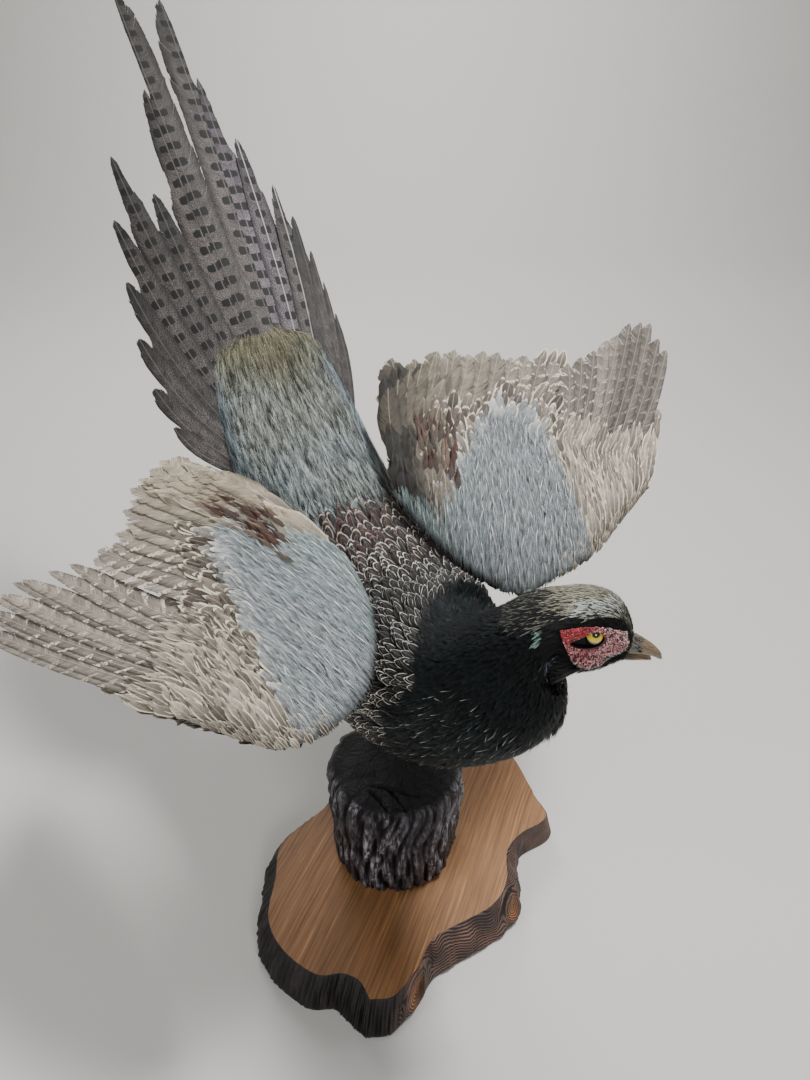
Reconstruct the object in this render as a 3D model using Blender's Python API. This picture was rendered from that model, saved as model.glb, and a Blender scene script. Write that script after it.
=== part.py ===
"""A mounted cock green pheasant, life size, landing on a short log on a live-edge slab.

Metres, +Z up. The origin is on the slab's underside, below the log's axis. The bird faces -Y
and its left side is towards +X. Every body part is a closed solid, 0.3 mm clear of its neighbours.
"""

import math

import bmesh
import bpy
import numpy as np
from mathutils import Matrix, Vector

MM = 0.001
GAP = 0.3 * MM  # between solids that meet

# The slab and the log
SLAB_THICKNESS = 30 * MM
SLAB_FLARE = 8 * MM  # how far the underside stands out past the top, where the outline gives no more
SLAB_WAVE = 3 * MM
LOG_HEIGHT = 93 * MM
LOG_RADIUS = 48.5 * MM
LOG_SIDES = 28
LOG_FOOT = (0 * MM, -10.5 * MM)
LOG_HEAD = (-2 * MM, -10 * MM)
LOG_TOP = SLAB_THICKNESS + GAP + LOG_HEIGHT
# The slab's top edge in mm, round from the front, only where it changes direction, and its extra flare
SLAB_OUTLINE = (
    (-82, -113, 3), (-66, -119, 3), (-42, -110, 4), (-20, -98, 5), (8, -98, 4), (34, -98, 4), (56, -87, 6),
    (74, -65, 4), (95, -57, -4), (124, -54, 0), (131, -28, 0), (141, 10, 0), (138, 45, 0), (112, 70, 0),
    (72, 76, 0), (36, 68, 0), (0, 62, 0), (-37, 48, 0), (-80, 34, 2), (-99, 6, 4), (-117, -22, 2),
    (-118, -50, 2), (-106, -78, 2), (-90, -87, 3), (-82, -98, 8),
)  # fmt: skip

# The trunk leans to its right, so the left wing stands higher
TRUNK_ROLL = math.radians(8)
TAIL_PITCH = math.radians(44.3)
TAIL_BASE = Vector((0, 150 * MM, 322 * MM))
TAIL_START = -25 * MM  # the fan begins inside the rump, which covers its roots

# Body stations from tail to head:
# centre x, y, z | yaw and pitch of the way to the head | half width | half height above, below (mm, degrees)
BODY_STATIONS = (
    (0, 216, 386, 0, -44, 27, 2.6, 2.6),
    (0, 206, 377, 0, -44, 42, 4.5, 4.5),
    (0, 188, 358, 0, -44, 49, 8, 9),
    (0, 163, 334, 0, -43, 53, 14, 16),
    (0, 130, 305, 0, -39, 55, 25, 28),
    (0, 90, 276, 0, -33, 58, 37, 40),
    (0, 46, 252, 0, -25, 62, 48, 50),
    (0, 2, 238, 0, -14, 64, 56, 55),
    (-3, -36, 239, 0, 2, 62, 57, 55),
    (-5, -66, 248, 4, 26, 54, 49, 53),
    (-5, -90, 262, 12, 42, 45, 40, 49),
    (-3, -108, 282, 20, 52, 38, 32, 48),
    (-1, -121, 304, 30, 50, 31, 25, 43),
    (2, -131, 323, 44, 30, 25, 18.5, 36),
)
# Head stations from nape to bill, in the head's own frame: forward, up | half width | above, below (mm)
HEAD_STATIONS = (
    (9, 0, 19.0, 17.0, 29.0),
    (18, 0, 17.8, 22.0, 27.5),
    (27, 0, 16.4, 24.0, 24.5),
    (36, 0, 14.6, 22.3, 21.0),
    (43, -1, 12.0, 18.2, 16.5),
    (48.5, -3, 9.2, 13.0, 11.5),
    (52, -5, 7.0, 7.0, 7.5),
)
HEAD_ORIGIN = Vector((-2 * MM, -135 * MM, 337 * MM))
HEAD_YAW = math.radians(57)
HEAD_PITCH = math.radians(-11.5)
HEAD_ROLL = math.radians(0)
RING_POINTS = 20
BODY_RINGS = 45


def smooth(stations, count):
    """The stations' columns read off a smooth curve through them, at count even steps."""
    table = np.array(stations, float)
    n = len(table)
    tangent = np.gradient(table, axis=0)
    rows = []
    for t in np.linspace(0, n - 1, count):
        i = min(int(t), n - 2)
        f = t - i
        h00, h10 = 2 * f**3 - 3 * f**2 + 1, f**3 - 2 * f**2 + f
        h01, h11 = 3 * f**2 - 2 * f**3, f**3 - f**2
        rows.append(h00 * table[i] + h10 * tangent[i] + h01 * table[i + 1] + h11 * tangent[i + 1])
    return np.array(rows)


def loft(rings):
    """A closed mesh through rings of points, each with as many points, its two ends filled."""
    bm = bmesh.new()
    loops = [[bm.verts.new(p) for p in ring] for ring in rings]
    for first, second in zip(loops, loops[1:]):
        for k in range(len(first)):
            nxt = (k + 1) % len(first)
            bm.faces.new((first[k], first[nxt], second[nxt], second[k]))
    bm.faces.new(reversed(loops[0]))
    bm.faces.new(loops[-1])
    bmesh.ops.remove_doubles(bm, verts=bm.verts, dist=1e-6)
    bmesh.ops.recalc_face_normals(bm, faces=bm.faces)
    return bm


def to_object(name, bm, material, smooth_angle=50):
    mesh = bpy.data.meshes.new(name)
    bm.to_mesh(mesh)
    bm.free()
    mesh.materials.append(material)
    mesh.shade_smooth()
    mesh.set_sharp_from_angle(angle=math.radians(smooth_angle))
    obj = bpy.data.objects.new(name, mesh)
    bpy.context.scene.collection.objects.link(obj)
    return obj


def make_material(name, colour, roughness, metallic=0.0):
    material = bpy.data.materials.new(name)
    material.use_nodes = True
    shader = material.node_tree.nodes["Principled BSDF"]
    shader.inputs["Base Color"].default_value = (*colour, 1.0)
    shader.inputs["Roughness"].default_value = roughness
    shader.inputs["Metallic"].default_value = metallic
    return material


def heading(yaw, pitch, roll):
    """Forward, side and up vectors: yaw turns from -Y to the bird's left, pitch lifts, roll lifts the left."""
    forward = Vector((math.sin(yaw) * math.cos(pitch), -math.cos(yaw) * math.cos(pitch), math.sin(pitch)))
    side = Vector((math.cos(yaw), math.sin(yaw), 0))
    up = side.cross(forward).normalized()
    if up.z < 0:
        up = -up
    turned = side * math.cos(roll) + up * math.sin(roll)
    return forward, turned, (up * math.cos(roll) - side * math.sin(roll))


def oval_ring(centre, side, up, half_width, above, below, squareness=2.2, count=RING_POINTS):
    ring = []
    for k in range(count):
        a = 2 * math.pi * k / count
        c, s = math.cos(a), math.sin(a)
        x = math.copysign(abs(c) ** (2 / squareness), c) * half_width
        z = math.copysign(abs(s) ** (2 / squareness), s) * (above if s > 0 else below)
        ring.append(centre + side * x + up * z)
    return ring


def head_frame():
    return heading(HEAD_YAW, HEAD_PITCH, HEAD_ROLL)


def head_point(forward, up, side=0.0):
    f, s, u = head_frame()
    return HEAD_ORIGIN + f * forward + u * up + s * side


def body_rings():
    """Rings from the tail coverts to the bill's base. The trunk's roll fades out along the neck."""
    neck_rows = len(BODY_STATIONS)
    head_rows = []
    f, s, u = head_frame()
    for forward, up, width, above, below in HEAD_STATIONS:
        c = head_point(forward * MM, up * MM) / MM
        head_rows.append((*c, math.degrees(HEAD_YAW), math.degrees(HEAD_PITCH), width, above, below))
    rows = smooth(BODY_STATIONS + tuple(head_rows), BODY_RINGS)
    last = neck_rows + len(head_rows) - 1
    rings = []
    for i, (x, y, z, yaw, pitch, width, above, below) in enumerate(rows):
        station = i * last / (len(rows) - 1)
        fade = min(1.0, max(0.0, (station - 8) / 6))
        roll = TRUNK_ROLL * (1 - fade) + HEAD_ROLL * fade
        _, side, up = heading(math.radians(yaw), math.radians(pitch), roll)
        rings.append(oval_ring(Vector((x, y, z)) * MM, side, up, width * MM, above * MM, below * MM))
    return rings


def length_of_body(rings, first, last):
    """The body between two of its rings. The cut ends stand half the gap back from the rings they lie on."""
    piece = [list(ring) for ring in rings[first : last + 1]]
    for end, inner, whole_end in ((0, 1, first == 0), (-1, -2, last == len(rings) - 1)):
        if whole_end:
            continue
        a, b, c = (piece[end][k] for k in (0, RING_POINTS // 3, 2 * RING_POINTS // 3))
        normal = (b - a).cross(c - a).normalized()
        if normal.dot(sum(piece[inner], Vector()) - sum(piece[end], Vector())) < 0:
            normal = -normal
        piece[end] = [p + normal * GAP / 2 for p in piece[end]]
    return loft(piece)


def inflate(bm, distance):
    bm.normal_update()
    for v in bm.verts:
        v.co += v.normal * distance


def cutter(name, bm):
    mesh = bpy.data.meshes.new(name)
    bm.to_mesh(mesh)
    bm.free()
    obj = bpy.data.objects.new(name, mesh)
    bpy.context.scene.collection.objects.link(obj)
    obj.hide_render = True
    obj.display_type = "WIRE"
    return obj


def boolean(obj, other, operation="DIFFERENCE"):
    mod = obj.modifiers.new(operation.title(), "BOOLEAN")
    mod.operation = operation
    mod.object = other
    mod.solver = "EXACT"


# Wings. In a wing's own plane, in mm: along runs from the wrist to the longest primary's tip,
# across from there towards the body. Front is the leading edge from the hand round to the inner edge.
RIGHT_WING = dict(
    wrist=(-113, -87, 262), tip=(-236, 113, 276), inner=(-98, 148, 332),
    front=((62, -15), (30, -13), (2, -6), (-15, 16), (-21, 40), (-13, 66), (4, 92), (30, 114)),
    cover=((92, -18), (88, 8), (88, 30), (93, 52), (100, 76), (110, 100), (118, 121), (127, 141)),
    tips=((222, -22), (239, 0), (234, 22), (209, 46), (197, 68), (205, 94), (214, 122), (207, 153)),
)  # fmt: skip
LEFT_WING = dict(
    wrist=(121, -48, 291), tip=(283, 85, 397), inner=(79, 158, 370),
    front=((60, -31), (28, -19), (0, -8), (-26, 12), (-48, 34), (-44, 64), (-26, 100), (-2, 134)),
    cover=((104, -31), (88, 0), (90, 26), (93, 52), (92, 80), (87, 110), (80, 140), (68, 168)),
    tips=((216, -30), (247, -4), (214, 20), (179, 46), (176, 80), (169, 114), (156, 150), (126, 200)),
)  # fmt: skip
PRIMARIES = 10
SECONDARIES = 12
PRIMARY_SHARE = 0.46  # of the wing's columns, from the leading edge
ARM_UPPER = 12 * MM
ARM_LOWER = 10 * MM
QUILL_THICKNESS = 3.2 * MM
TIP_THICKNESS = 0.9 * MM
TIP_DROOP = 7 * MM
ROOT_OVERLAP = 1 * MM  # flight feathers run this far into the arm before it is cut out of them


def curve_at(points, t):
    """A point at share t of the smooth curve through points."""
    table = np.array(points, float)
    n = len(table)
    tangent = np.gradient(table, axis=0)
    x = min(max(t, 0.0), 1.0) * (n - 1)
    i = min(int(x), n - 2)
    f = x - i
    h00, h10 = 2 * f**3 - 3 * f**2 + 1, f**3 - 2 * f**2 + f
    h01, h11 = 3 * f**2 - 2 * f**3, f**3 - f**2
    return h00 * table[i] + h10 * tangent[i] + h01 * table[i + 1] + h11 * tangent[i + 1]


class Wing:
    def __init__(self, spec):
        wrist, tip, inner = (Vector(spec[k]) * MM for k in ("wrist", "tip", "inner"))
        self.spec = spec
        self.wrist = wrist
        self.along = (tip - wrist).normalized()
        normal = self.along.cross(inner - wrist).normalized()
        self.up = normal if normal.z > 0 else -normal
        self.across = self.up.cross(self.along)
        if self.across.dot(inner - wrist) < 0:
            self.across = -self.across

    def place(self, flat, height):
        return self.wrist + (self.along * flat[0] + self.across * flat[1]) * MM + self.up * height

    def arm_ring(self, u):
        """The section through the covered arm at share u, as a closed ring."""
        front = curve_at(self.spec["front"], u)
        back = curve_at(self.spec["cover"], u)
        fade = min(1.0, 0.45 + 2.4 * min(u, 1 - u))
        steps = 7
        upper, lower = [], []
        for k in range(steps):
            v = k / (steps - 1)
            bulge = math.sin(math.pi * v**0.62) * (1 - 0.25 * v)
            rest = 0.5 * QUILL_THICKNESS * min(1.0, 4 * v)
            flat = front + (back - front) * v
            upper.append(self.place(flat, bulge * ARM_UPPER * fade + rest))
            lower.append(self.place(flat, -bulge * ARM_LOWER * fade - rest))
        lower[0] = lower[0].lerp(lower[1], 0.06)
        return upper + lower[:0:-1]

    def quill_ring(self, u, cut_back):
        """The section along one flight feather's line, from the coverts to cut_back mm short of its tip."""
        root = curve_at(self.spec["cover"], u)
        end = curve_at(self.spec["tips"], u)
        line = end - root
        length = np.linalg.norm(line)
        root = root - line / length * ROOT_OVERLAP / MM
        end = end - line / length * cut_back
        steps = 4
        upper, lower = [], []
        for k in range(steps):
            v = k / (steps - 1)
            half = 0.5 * (QUILL_THICKNESS * 0.86 * (1 - v) + TIP_THICKNESS * v)
            flat = root + (end - root) * v
            droop = -TIP_DROOP * v * v
            upper.append(self.place(flat, droop + half))
            lower.append(self.place(flat, droop - half))
        return upper + lower[::-1]

    def arm(self):
        return loft([self.arm_ring(u) for u in np.linspace(0, 1, 15)])

    def quills(self, count, first, last, notch):
        """A sheet of count feathers side by side over columns first to last, notched between their tips."""
        rings = []
        for i in range(count):
            width = (last - first) / count
            u0 = first + i * width
            depth = notch[0] + (notch[1] - notch[0]) * i / (count - 1)
            rings.append(self.quill_ring(u0, depth if i else depth * 0.8))
            rings.append(self.quill_ring(u0 + 0.34 * width, 0.0))
            rings.append(self.quill_ring(u0 + 0.68 * width, 0.12 * depth))
        rings.append(self.quill_ring(last, depth))
        return loft(rings)


# The tail's feathers from the outermost on the bird's right to the outermost on its left, as the tip's
# place in the fan: along the tail from its base, and across it (mm). Some are worn or parted, and
# one is tucked under its neighbour.
TAIL_TIPS = (
    (34, -86), (68, -90), (110, -89), (158, -84), (212, -78), (268, -64), (229, -42), (326, -20), (424, -17),
    (416, 20), (334, 27), (273, 41), (226, 58), (194, 65), (160, 69), (130, 69.5), (100, 69.5),
)  # fmt: skip
TAIL_NOTCHES = (12, 22, 26, 30, 32, 45, 40, 36, 92, 70, 20, 22, 22, 18, 16, 18)  # below the shorter neighbour
TAIL_THICKNESS = 8 * MM
TAIL_TIP_THICKNESS = 1.2 * MM
TAIL_ROOT_WIDTH = 38 * MM
TAIL_CUP = 5 * MM


def tail_frame():
    along = Vector((0, math.cos(TAIL_PITCH), math.sin(TAIL_PITCH)))
    lateral = Vector((math.cos(TRUNK_ROLL), 0, math.sin(TRUNK_ROLL)))
    lateral = (lateral - along * lateral.dot(along)).normalized()
    up = lateral.cross(along).normalized()
    return along, lateral, up


def tail_point(along_mm, across_mm, height=0.0):
    along, lateral, up = tail_frame()
    cup = -TAIL_CUP * (across_mm / 80) ** 2
    return TAIL_BASE + along * along_mm * MM + lateral * across_mm * MM + up * (height + cup)


def tail_lane(i, along):
    """Where the middle of tail feather i runs across the fan, at a place along the tail (mm)."""
    length, across = TAIL_TIPS[i]
    root = (2 * (i + 0.5) / len(TAIL_TIPS) - 1) * TAIL_ROOT_WIDTH / MM
    v = (along - TAIL_START / MM) / (length - TAIL_START / MM)
    return root + (across - root) * (v + 0.18 * math.sin(math.pi * min(v, 1.0)))


def tail_section(end, lane):
    """A closed ring along the tail, from the rump to end mm along, following lane across the fan."""
    start = TAIL_START / MM
    steps = 5
    upper, lower = [], []
    for k in range(steps):
        v = (k / (steps - 1)) ** 0.85
        along = start + (end - start) * v
        half = 0.5 * (TAIL_THICKNESS * (1 - v) ** 2 + TAIL_TIP_THICKNESS)
        upper.append(tail_point(along, lane(along), half))
        lower.append(tail_point(along, lane(along), -half))
    return upper + lower[::-1]


def tail_rings():
    """Two sections for each feather, one at each edge of its tip, and one for each notch between two."""
    rings = []
    last = len(TAIL_TIPS) - 1
    for i, (length, _) in enumerate(TAIL_TIPS):
        for side in (-1, 1):
            other = min(max(i + side, 0), last)

            def edge(along, i=i, side=side, other=other, length=length):
                room = abs(tail_lane(other, along) - tail_lane(i, along)) if other != i else 8.0
                fade = 1 - ((along - TAIL_START / MM) / (length - TAIL_START / MM)) ** 6
                return tail_lane(i, along) + side * (0.6 + min(0.3 * room, 7.0) * fade)

            rings.append(tail_section(length, edge))
        if i < last:
            notch = min(length, TAIL_TIPS[i + 1][0]) - TAIL_NOTCHES[i]
            rings.append(tail_section(notch, lambda along, i=i: 0.5 * (tail_lane(i, along) + tail_lane(i + 1, along))))
    return rings


# The head's small parts
EYE_FORWARD, EYE_UP = 29 * MM, 4.8 * MM
EYE_RADIUS = 5.2 * MM
EYE_SIDE = 12.4 * MM
WATTLE_THICKNESS = 1.2 * MM
# The bare skin's edge round the eye, in the head's frame: forward, up (mm)
WATTLE_OUTLINE = (
    (8, 4.5), (17, 9), (26, 12), (36, 12.6), (43, 11), (46.5, 5), (46, 0), (41, -3), (38, -6), (36, -11),
    (31, -14.5), (25, -13.5), (20, -9), (15, -3),
)  # fmt: skip
# Upper bill: forward, up | half width | above, below (mm, in the head's frame)
BILL_UPPER = (
    (52.4, -4.0, 6.8, 6.4, 4.6),
    (57, -4.6, 5.6, 5.4, 4.2),
    (63, -6.0, 4.3, 4.4, 3.2),
    (68, -8.0, 2.9, 3.2, 2.6),
    (72, -10.4, 1.4, 1.9, 2.0),
    (73.8, -12.4, 0.5, 0.9, 0.9),
)
BILL_LOWER = (
    (52.4, -10.3, 6.2, 0.8, 2.8),
    (57, -10.8, 5.0, 0.8, 2.6),
    (63, -11.2, 3.6, 0.8, 2.0),
    (68, -12.2, 2.0, 0.7, 1.2),
)


def head_loft(stations, count):
    f, side, up = head_frame()
    rings = []
    for forward, height, width, above, below in smooth(stations, count):
        centre = head_point(forward * MM, height * MM)
        rings.append(oval_ring(centre, side, up, width * MM, above * MM, below * MM, 2.0, 12))
    return loft(rings)


def ball(centre, radius, detail=2):
    bm = bmesh.new()
    bmesh.ops.create_icosphere(bm, subdivisions=detail, radius=radius, matrix=Matrix.Translation(centre))
    return bm


# Legs. Each foot stands on the log: hip in the belly, heel joint, ankle over the toes.
FEET = {"right": (12, 24, 10), "left": (37, 6, 4)}  # ankle x, y in mm and how the toes turn, degrees
TOE_LENGTHS = (26, 38, 30, 13)
TOE_ANGLES = (26, 0, -26, 180)  # inner, middle, outer and hind toe
TOE_RADIUS = 3.6 * MM
SHANK_RADIUS = 3.9 * MM


def tube(points, radii, sides=10):
    """A tapering round tube through points."""
    rings = []
    for i, (p, r) in enumerate(zip(points, radii)):
        before, after = points[max(i - 1, 0)], points[min(i + 1, len(points) - 1)]
        axis = (after - before).normalized()
        helper = Vector((1, 0, 0)) if abs(axis.x) < 0.8 else Vector((0, 1, 0))
        a = axis.cross(helper).normalized()
        b = axis.cross(a)
        angles = [2 * math.pi * k / sides for k in range(sides)]
        rings.append([p + (a * math.cos(t) + b * math.sin(t)) * r for t in angles])
    return loft(rings)


def build():
    for obj in list(bpy.data.objects):
        bpy.data.objects.remove(obj)
    mats = {
        "slab_wood": make_material("slab_wood", (0.30, 0.17, 0.07), 0.5),
        "log_bark": make_material("log_bark", (0.035, 0.032, 0.036), 0.6),
        "plumage_dark": make_material("plumage_dark", (0.02, 0.025, 0.03), 0.6),
        "plumage_grey": make_material("plumage_grey", (0.32, 0.35, 0.37), 0.7),
        "flight_feather": make_material("flight_feather", (0.30, 0.26, 0.21), 0.7),
        "tail_feather": make_material("tail_feather", (0.20, 0.19, 0.19), 0.7),
        "head_plumage": make_material("head_plumage", (0.10, 0.10, 0.07), 0.6),
        "wattle_skin": make_material("wattle_skin", (0.42, 0.08, 0.07), 0.7),
        "bill_horn": make_material("bill_horn", (0.40, 0.33, 0.24), 0.4),
        "eye_glass": make_material("eye_glass", (0.70, 0.55, 0.04), 0.05),
        "leg_scale": make_material("leg_scale", (0.22, 0.19, 0.15), 0.5),
    }
    build_stand(mats)
    whole = body_rings()
    build_trunk_neck_head(mats, whole)
    for side, spec in (("right", RIGHT_WING), ("left", LEFT_WING)):
        build_wing(mats, side, Wing(spec), whole)
    body = loft(whole)
    inflate(body, GAP)
    tail = to_object("tail", loft(tail_rings()), mats["tail_feather"])
    boolean(tail, cutter("cut_body_tail", body))
    build_legs(mats, whole)


def build_stand(mats):
    points = [curve_at(SLAB_OUTLINE + (SLAB_OUTLINE[0],), t) for t in np.linspace(0, 1, 61)[:-1]]
    rings = []
    centre = np.mean(points, axis=0)[:2]
    for z, flare in ((0.0, 0.9), (0.12, 1.0), (0.6, 0.66), (0.93, 0.14), (1.0, 0.0)):
        ring = []
        for k, (px, py, extra) in enumerate(points):
            p = np.array((px, py))
            out = (p - centre) / np.linalg.norm(p - centre)
            wave = math.sin(k * 1.44) * SLAB_WAVE / MM * 0.3 * z * (1 - z) * 4
            q = p + out * ((SLAB_FLARE / MM + extra) * flare + wave)
            ring.append(Vector((q[0] * MM, q[1] * MM, z * SLAB_THICKNESS)))
        rings.append(ring)
    to_object("slab", loft(rings), mats["slab_wood"])

    rings = []
    for z, scale in ((0.0, 0.97), (0.06, 1.0), (0.3, 1.02), (0.55, 1.05), (0.78, 1.08), (0.93, 1.06), (1.0, 0.99)):
        ring = []
        for k in range(LOG_SIDES):
            a = 2 * math.pi * k / LOG_SIDES
            lumps = 1 + 0.024 * math.sin(2 * a + 0.6) + 0.014 * math.sin(5 * a + 2 + z) + 0.010 * math.sin(9 * a)
            r = LOG_RADIUS * scale * lumps
            x = LOG_FOOT[0] * (1 - z) + LOG_HEAD[0] * z + r * math.cos(a)
            y = LOG_FOOT[1] * (1 - z) + LOG_HEAD[1] * z + r * math.sin(a)
            ring.append(Vector((x, y, SLAB_THICKNESS + GAP + z * LOG_HEIGHT)))
        rings.append(ring)
    to_object("log", loft(rings), mats["log_bark"])


NECK_RING = 22  # the ring that parts the trunk from the neck
HEAD_RING = 29  # the ring that parts the neck from the head
WATTLE_RINGS = 25  # the first ring of the larger head that the bare skin is cut from


def build_trunk_neck_head(mats, whole):
    to_object("trunk", length_of_body(whole, 0, NECK_RING), mats["plumage_grey"])
    to_object("neck", length_of_body(whole, NECK_RING, HEAD_RING), mats["plumage_dark"])
    head = to_object("head", length_of_body(whole, HEAD_RING, len(whole) - 1), mats["head_plumage"])

    to_object("bill_upper", head_loft(BILL_UPPER, 8), mats["bill_horn"])
    to_object("bill_lower", head_loft(BILL_LOWER, 6), mats["bill_horn"])

    for name, sign in (("right", -1), ("left", 1)):
        eye_at = head_point(EYE_FORWARD, EYE_UP, sign * EYE_SIDE)
        to_object(f"eye_{name}", ball(eye_at, EYE_RADIUS), mats["eye_glass"])
        socket = cutter(f"cut_socket_{name}", ball(eye_at, EYE_RADIUS + GAP))
        boolean(head, socket)
        build_wattle(mats, name, sign, whole, eye_at)


def build_wattle(mats, name, sign, whole, eye_at):
    """A thin patch over the head's side, cut from a slightly larger head by the outline's prism."""
    patch = loft(whole[WATTLE_RINGS:])
    inflate(patch, WATTLE_THICKNESS + GAP)
    wattle = to_object(f"wattle_{name}", patch, mats["wattle_skin"])
    near = [head_point(f * MM, u * MM, sign * 6 * MM) for f, u in WATTLE_OUTLINE]
    far = [head_point(f * MM, u * MM, sign * 30 * MM) for f, u in WATTLE_OUTLINE]
    boolean(wattle, cutter(f"cut_outline_{name}", loft([near, far])), "INTERSECT")
    inside = loft(whole[WATTLE_RINGS:])
    inflate(inside, 1.4 * GAP)
    boolean(wattle, cutter(f"cut_head_{name}", inside))
    boolean(wattle, cutter(f"cut_eye_{name}", ball(eye_at, EYE_RADIUS + GAP)))


def build_wing(mats, side, wing, whole):
    body = loft(whole)
    inflate(body, GAP)
    keep_out = cutter(f"cut_body_{side}", body)
    arm = to_object(f"wing_{side}", wing.arm(), mats["plumage_grey"])
    primaries = wing.quills(PRIMARIES, 0.0, PRIMARY_SHARE - 0.003, (26, 12))
    secondaries = wing.quills(SECONDARIES, PRIMARY_SHARE, 0.985, (8, 14))
    outer = to_object(f"primaries_{side}", primaries, mats["flight_feather"])
    inner = to_object(f"secondaries_{side}", secondaries, mats["flight_feather"])
    for obj in (arm, outer, inner):
        boolean(obj, keep_out)
    arm_room = wing.arm()
    inflate(arm_room, GAP)
    arm_room = cutter(f"cut_arm_{side}", arm_room)
    for obj in (outer, inner):
        boolean(obj, arm_room)


def build_legs(mats, whole):
    top = LOG_TOP + GAP
    for name, (x, y, turn) in FEET.items():
        sign = -1 if name == "right" else 1
        ankle = Vector((x * MM, y * MM, top + 7 * MM))
        heel = ankle + Vector((-sign * 1 * MM, 19 * MM, 42 * MM))
        hip = Vector((sign * 28 * MM, 10 * MM, 232 * MM))
        knee = heel.lerp(hip, 0.55) + Vector((0, -8 * MM, 0))
        end = heel + (heel - ankle).normalized() * 9 * MM
        shank_points = (ankle - Vector((0, 0, 3 * MM)), ankle.lerp(heel, 0.5), heel, end)
        shank_radii = (SHANK_RADIUS * 1.1, SHANK_RADIUS * 0.9, SHANK_RADIUS * 1.15, SHANK_RADIUS * 0.9)

        thigh = tube((heel.lerp(knee, -0.02), heel.lerp(knee, 0.35), knee, hip),
                     (8 * MM, 13 * MM, 19 * MM, 24 * MM), 12)  # fmt: skip
        thigh = to_object(f"thigh_{name}", thigh, mats["plumage_dark"])
        body = loft(whole)
        inflate(body, GAP)
        boolean(thigh, cutter(f"cut_belly_{name}", body))
        socket = tube(shank_points, [r + GAP for r in shank_radii])
        inflate_end = (end - heel).normalized() * GAP
        for v in socket.verts:
            if (v.co - end).length < SHANK_RADIUS * 1.3:
                v.co += inflate_end
        boolean(thigh, cutter(f"cut_shank_{name}", socket))

        foot = to_object(f"leg_{name}", tube(shank_points, shank_radii), mats["leg_scale"])
        root = ankle.lerp(heel, 0.38)
        spur = tube((root, root + Vector((-sign * 2, 8, 0)) * MM, root + Vector((-sign * 3, 14, 3)) * MM),
                    (3.0 * MM, 2.0 * MM, 0.6 * MM), 8)  # fmt: skip
        boolean(foot, cutter(f"cut_spur_{name}", spur), "UNION")
        for k, (length, angle) in enumerate(zip(TOE_LENGTHS, TOE_ANGLES)):
            boolean(foot, cutter(f"cut_toe_{name}_{k}", toe(x, y, top, length, math.radians(turn - sign * angle))), "UNION")


# Along a toe: share of its length, thickness as a share of the toe's, and how far it lifts off the log (mm)
TOE_JOINTS = ((0.0, 1.15, 0.4), (0.35, 0.95, 0.6), (0.7, 0.82, 0.0), (0.86, 0.6, 0.6), (1.0, 0.18, 0.3))


def toe(x, y, top, length, angle):
    way = Vector((math.sin(angle), -math.cos(angle), 0))
    points, radii = [], []
    for share, thick, lift in TOE_JOINTS:
        radius = TOE_RADIUS * thick
        points.append(Vector((x * MM, y * MM, top + radius + lift * MM)) + way * length * share * MM)
        radii.append(radius)
    return tube(points, radii, 6)


build()
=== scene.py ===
"""The looks of a mounted cock green pheasant: one skin under a coat of mesh feathers, separate
flight and tail feathers, the head's bare parts, scaled feet, a bark log and a live-edge slab.

Lengths are metres, angles degrees. The bird faces -Y and its left side is towards +X.
"""

import math
from functools import cache, partial
from itertools import product

import bmesh
import bpy
import numpy as np
from bpy.props import FloatProperty, FloatVectorProperty, IntProperty, PointerProperty
from mathutils import Matrix, Vector
from mathutils.bvhtree import BVHTree
from mathutils.kdtree import KDTree


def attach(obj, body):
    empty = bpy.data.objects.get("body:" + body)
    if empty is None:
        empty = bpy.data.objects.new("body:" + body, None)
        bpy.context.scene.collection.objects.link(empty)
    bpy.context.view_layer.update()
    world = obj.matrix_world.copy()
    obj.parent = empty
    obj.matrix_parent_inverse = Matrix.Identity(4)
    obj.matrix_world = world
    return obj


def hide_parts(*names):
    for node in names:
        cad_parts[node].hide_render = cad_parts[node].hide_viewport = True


bl_info = {
    "name": "Mounted Green Pheasant",
    "version": (1, 0, 0),
    "blender": (4, 5, 0),
    "location": "View3D > Sidebar > Pheasant",
    "description": "Dresses the mounted pheasant and its stand",
    "category": "Object",
}

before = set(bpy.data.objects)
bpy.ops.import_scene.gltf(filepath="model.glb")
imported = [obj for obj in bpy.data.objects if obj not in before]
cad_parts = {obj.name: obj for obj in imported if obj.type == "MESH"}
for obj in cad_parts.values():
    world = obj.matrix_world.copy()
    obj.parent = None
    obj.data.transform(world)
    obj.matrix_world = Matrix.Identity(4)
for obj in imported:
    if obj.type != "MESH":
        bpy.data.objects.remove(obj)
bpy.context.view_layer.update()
MM = 0.001
ROOT = "root"

# ---------------------------------------------------------------------------------------------
# The bird's measures in mm and degrees: its solids have the same ones, but for a closer bill and face

TRUNK_ROLL = 8
TAIL_PITCH = 44.3
TAIL_BASE = np.array((0, 150, 322.0))
TAIL_START = -25
# Tail to neck: centre x, y, z | yaw, pitch | half width | half height above, below
BODY_STATIONS = (
    (0, 216, 386, 0, -44, 27, 2.6, 2.6), (0, 206, 377, 0, -44, 42, 4.5, 4.5),
    (0, 188, 358, 0, -44, 49, 8, 9), (0, 163, 334, 0, -43, 53, 14, 16),
    (0, 130, 305, 0, -39, 55, 25, 28), (0, 90, 276, 0, -33, 58, 37, 40),
    (0, 46, 252, 0, -25, 62, 48, 50), (0, 2, 238, 0, -14, 64, 56, 55),
    (-3, -36, 239, 0, 2, 62, 57, 55), (-5, -66, 248, 4, 26, 54, 49, 53),
    (-5, -90, 262, 12, 42, 45, 40, 49), (-3, -108, 282, 20, 52, 38, 32, 48),
    (-1, -121, 304, 30, 50, 31, 25, 43), (2, -131, 323, 44, 30, 25, 18.5, 36),
)
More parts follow.
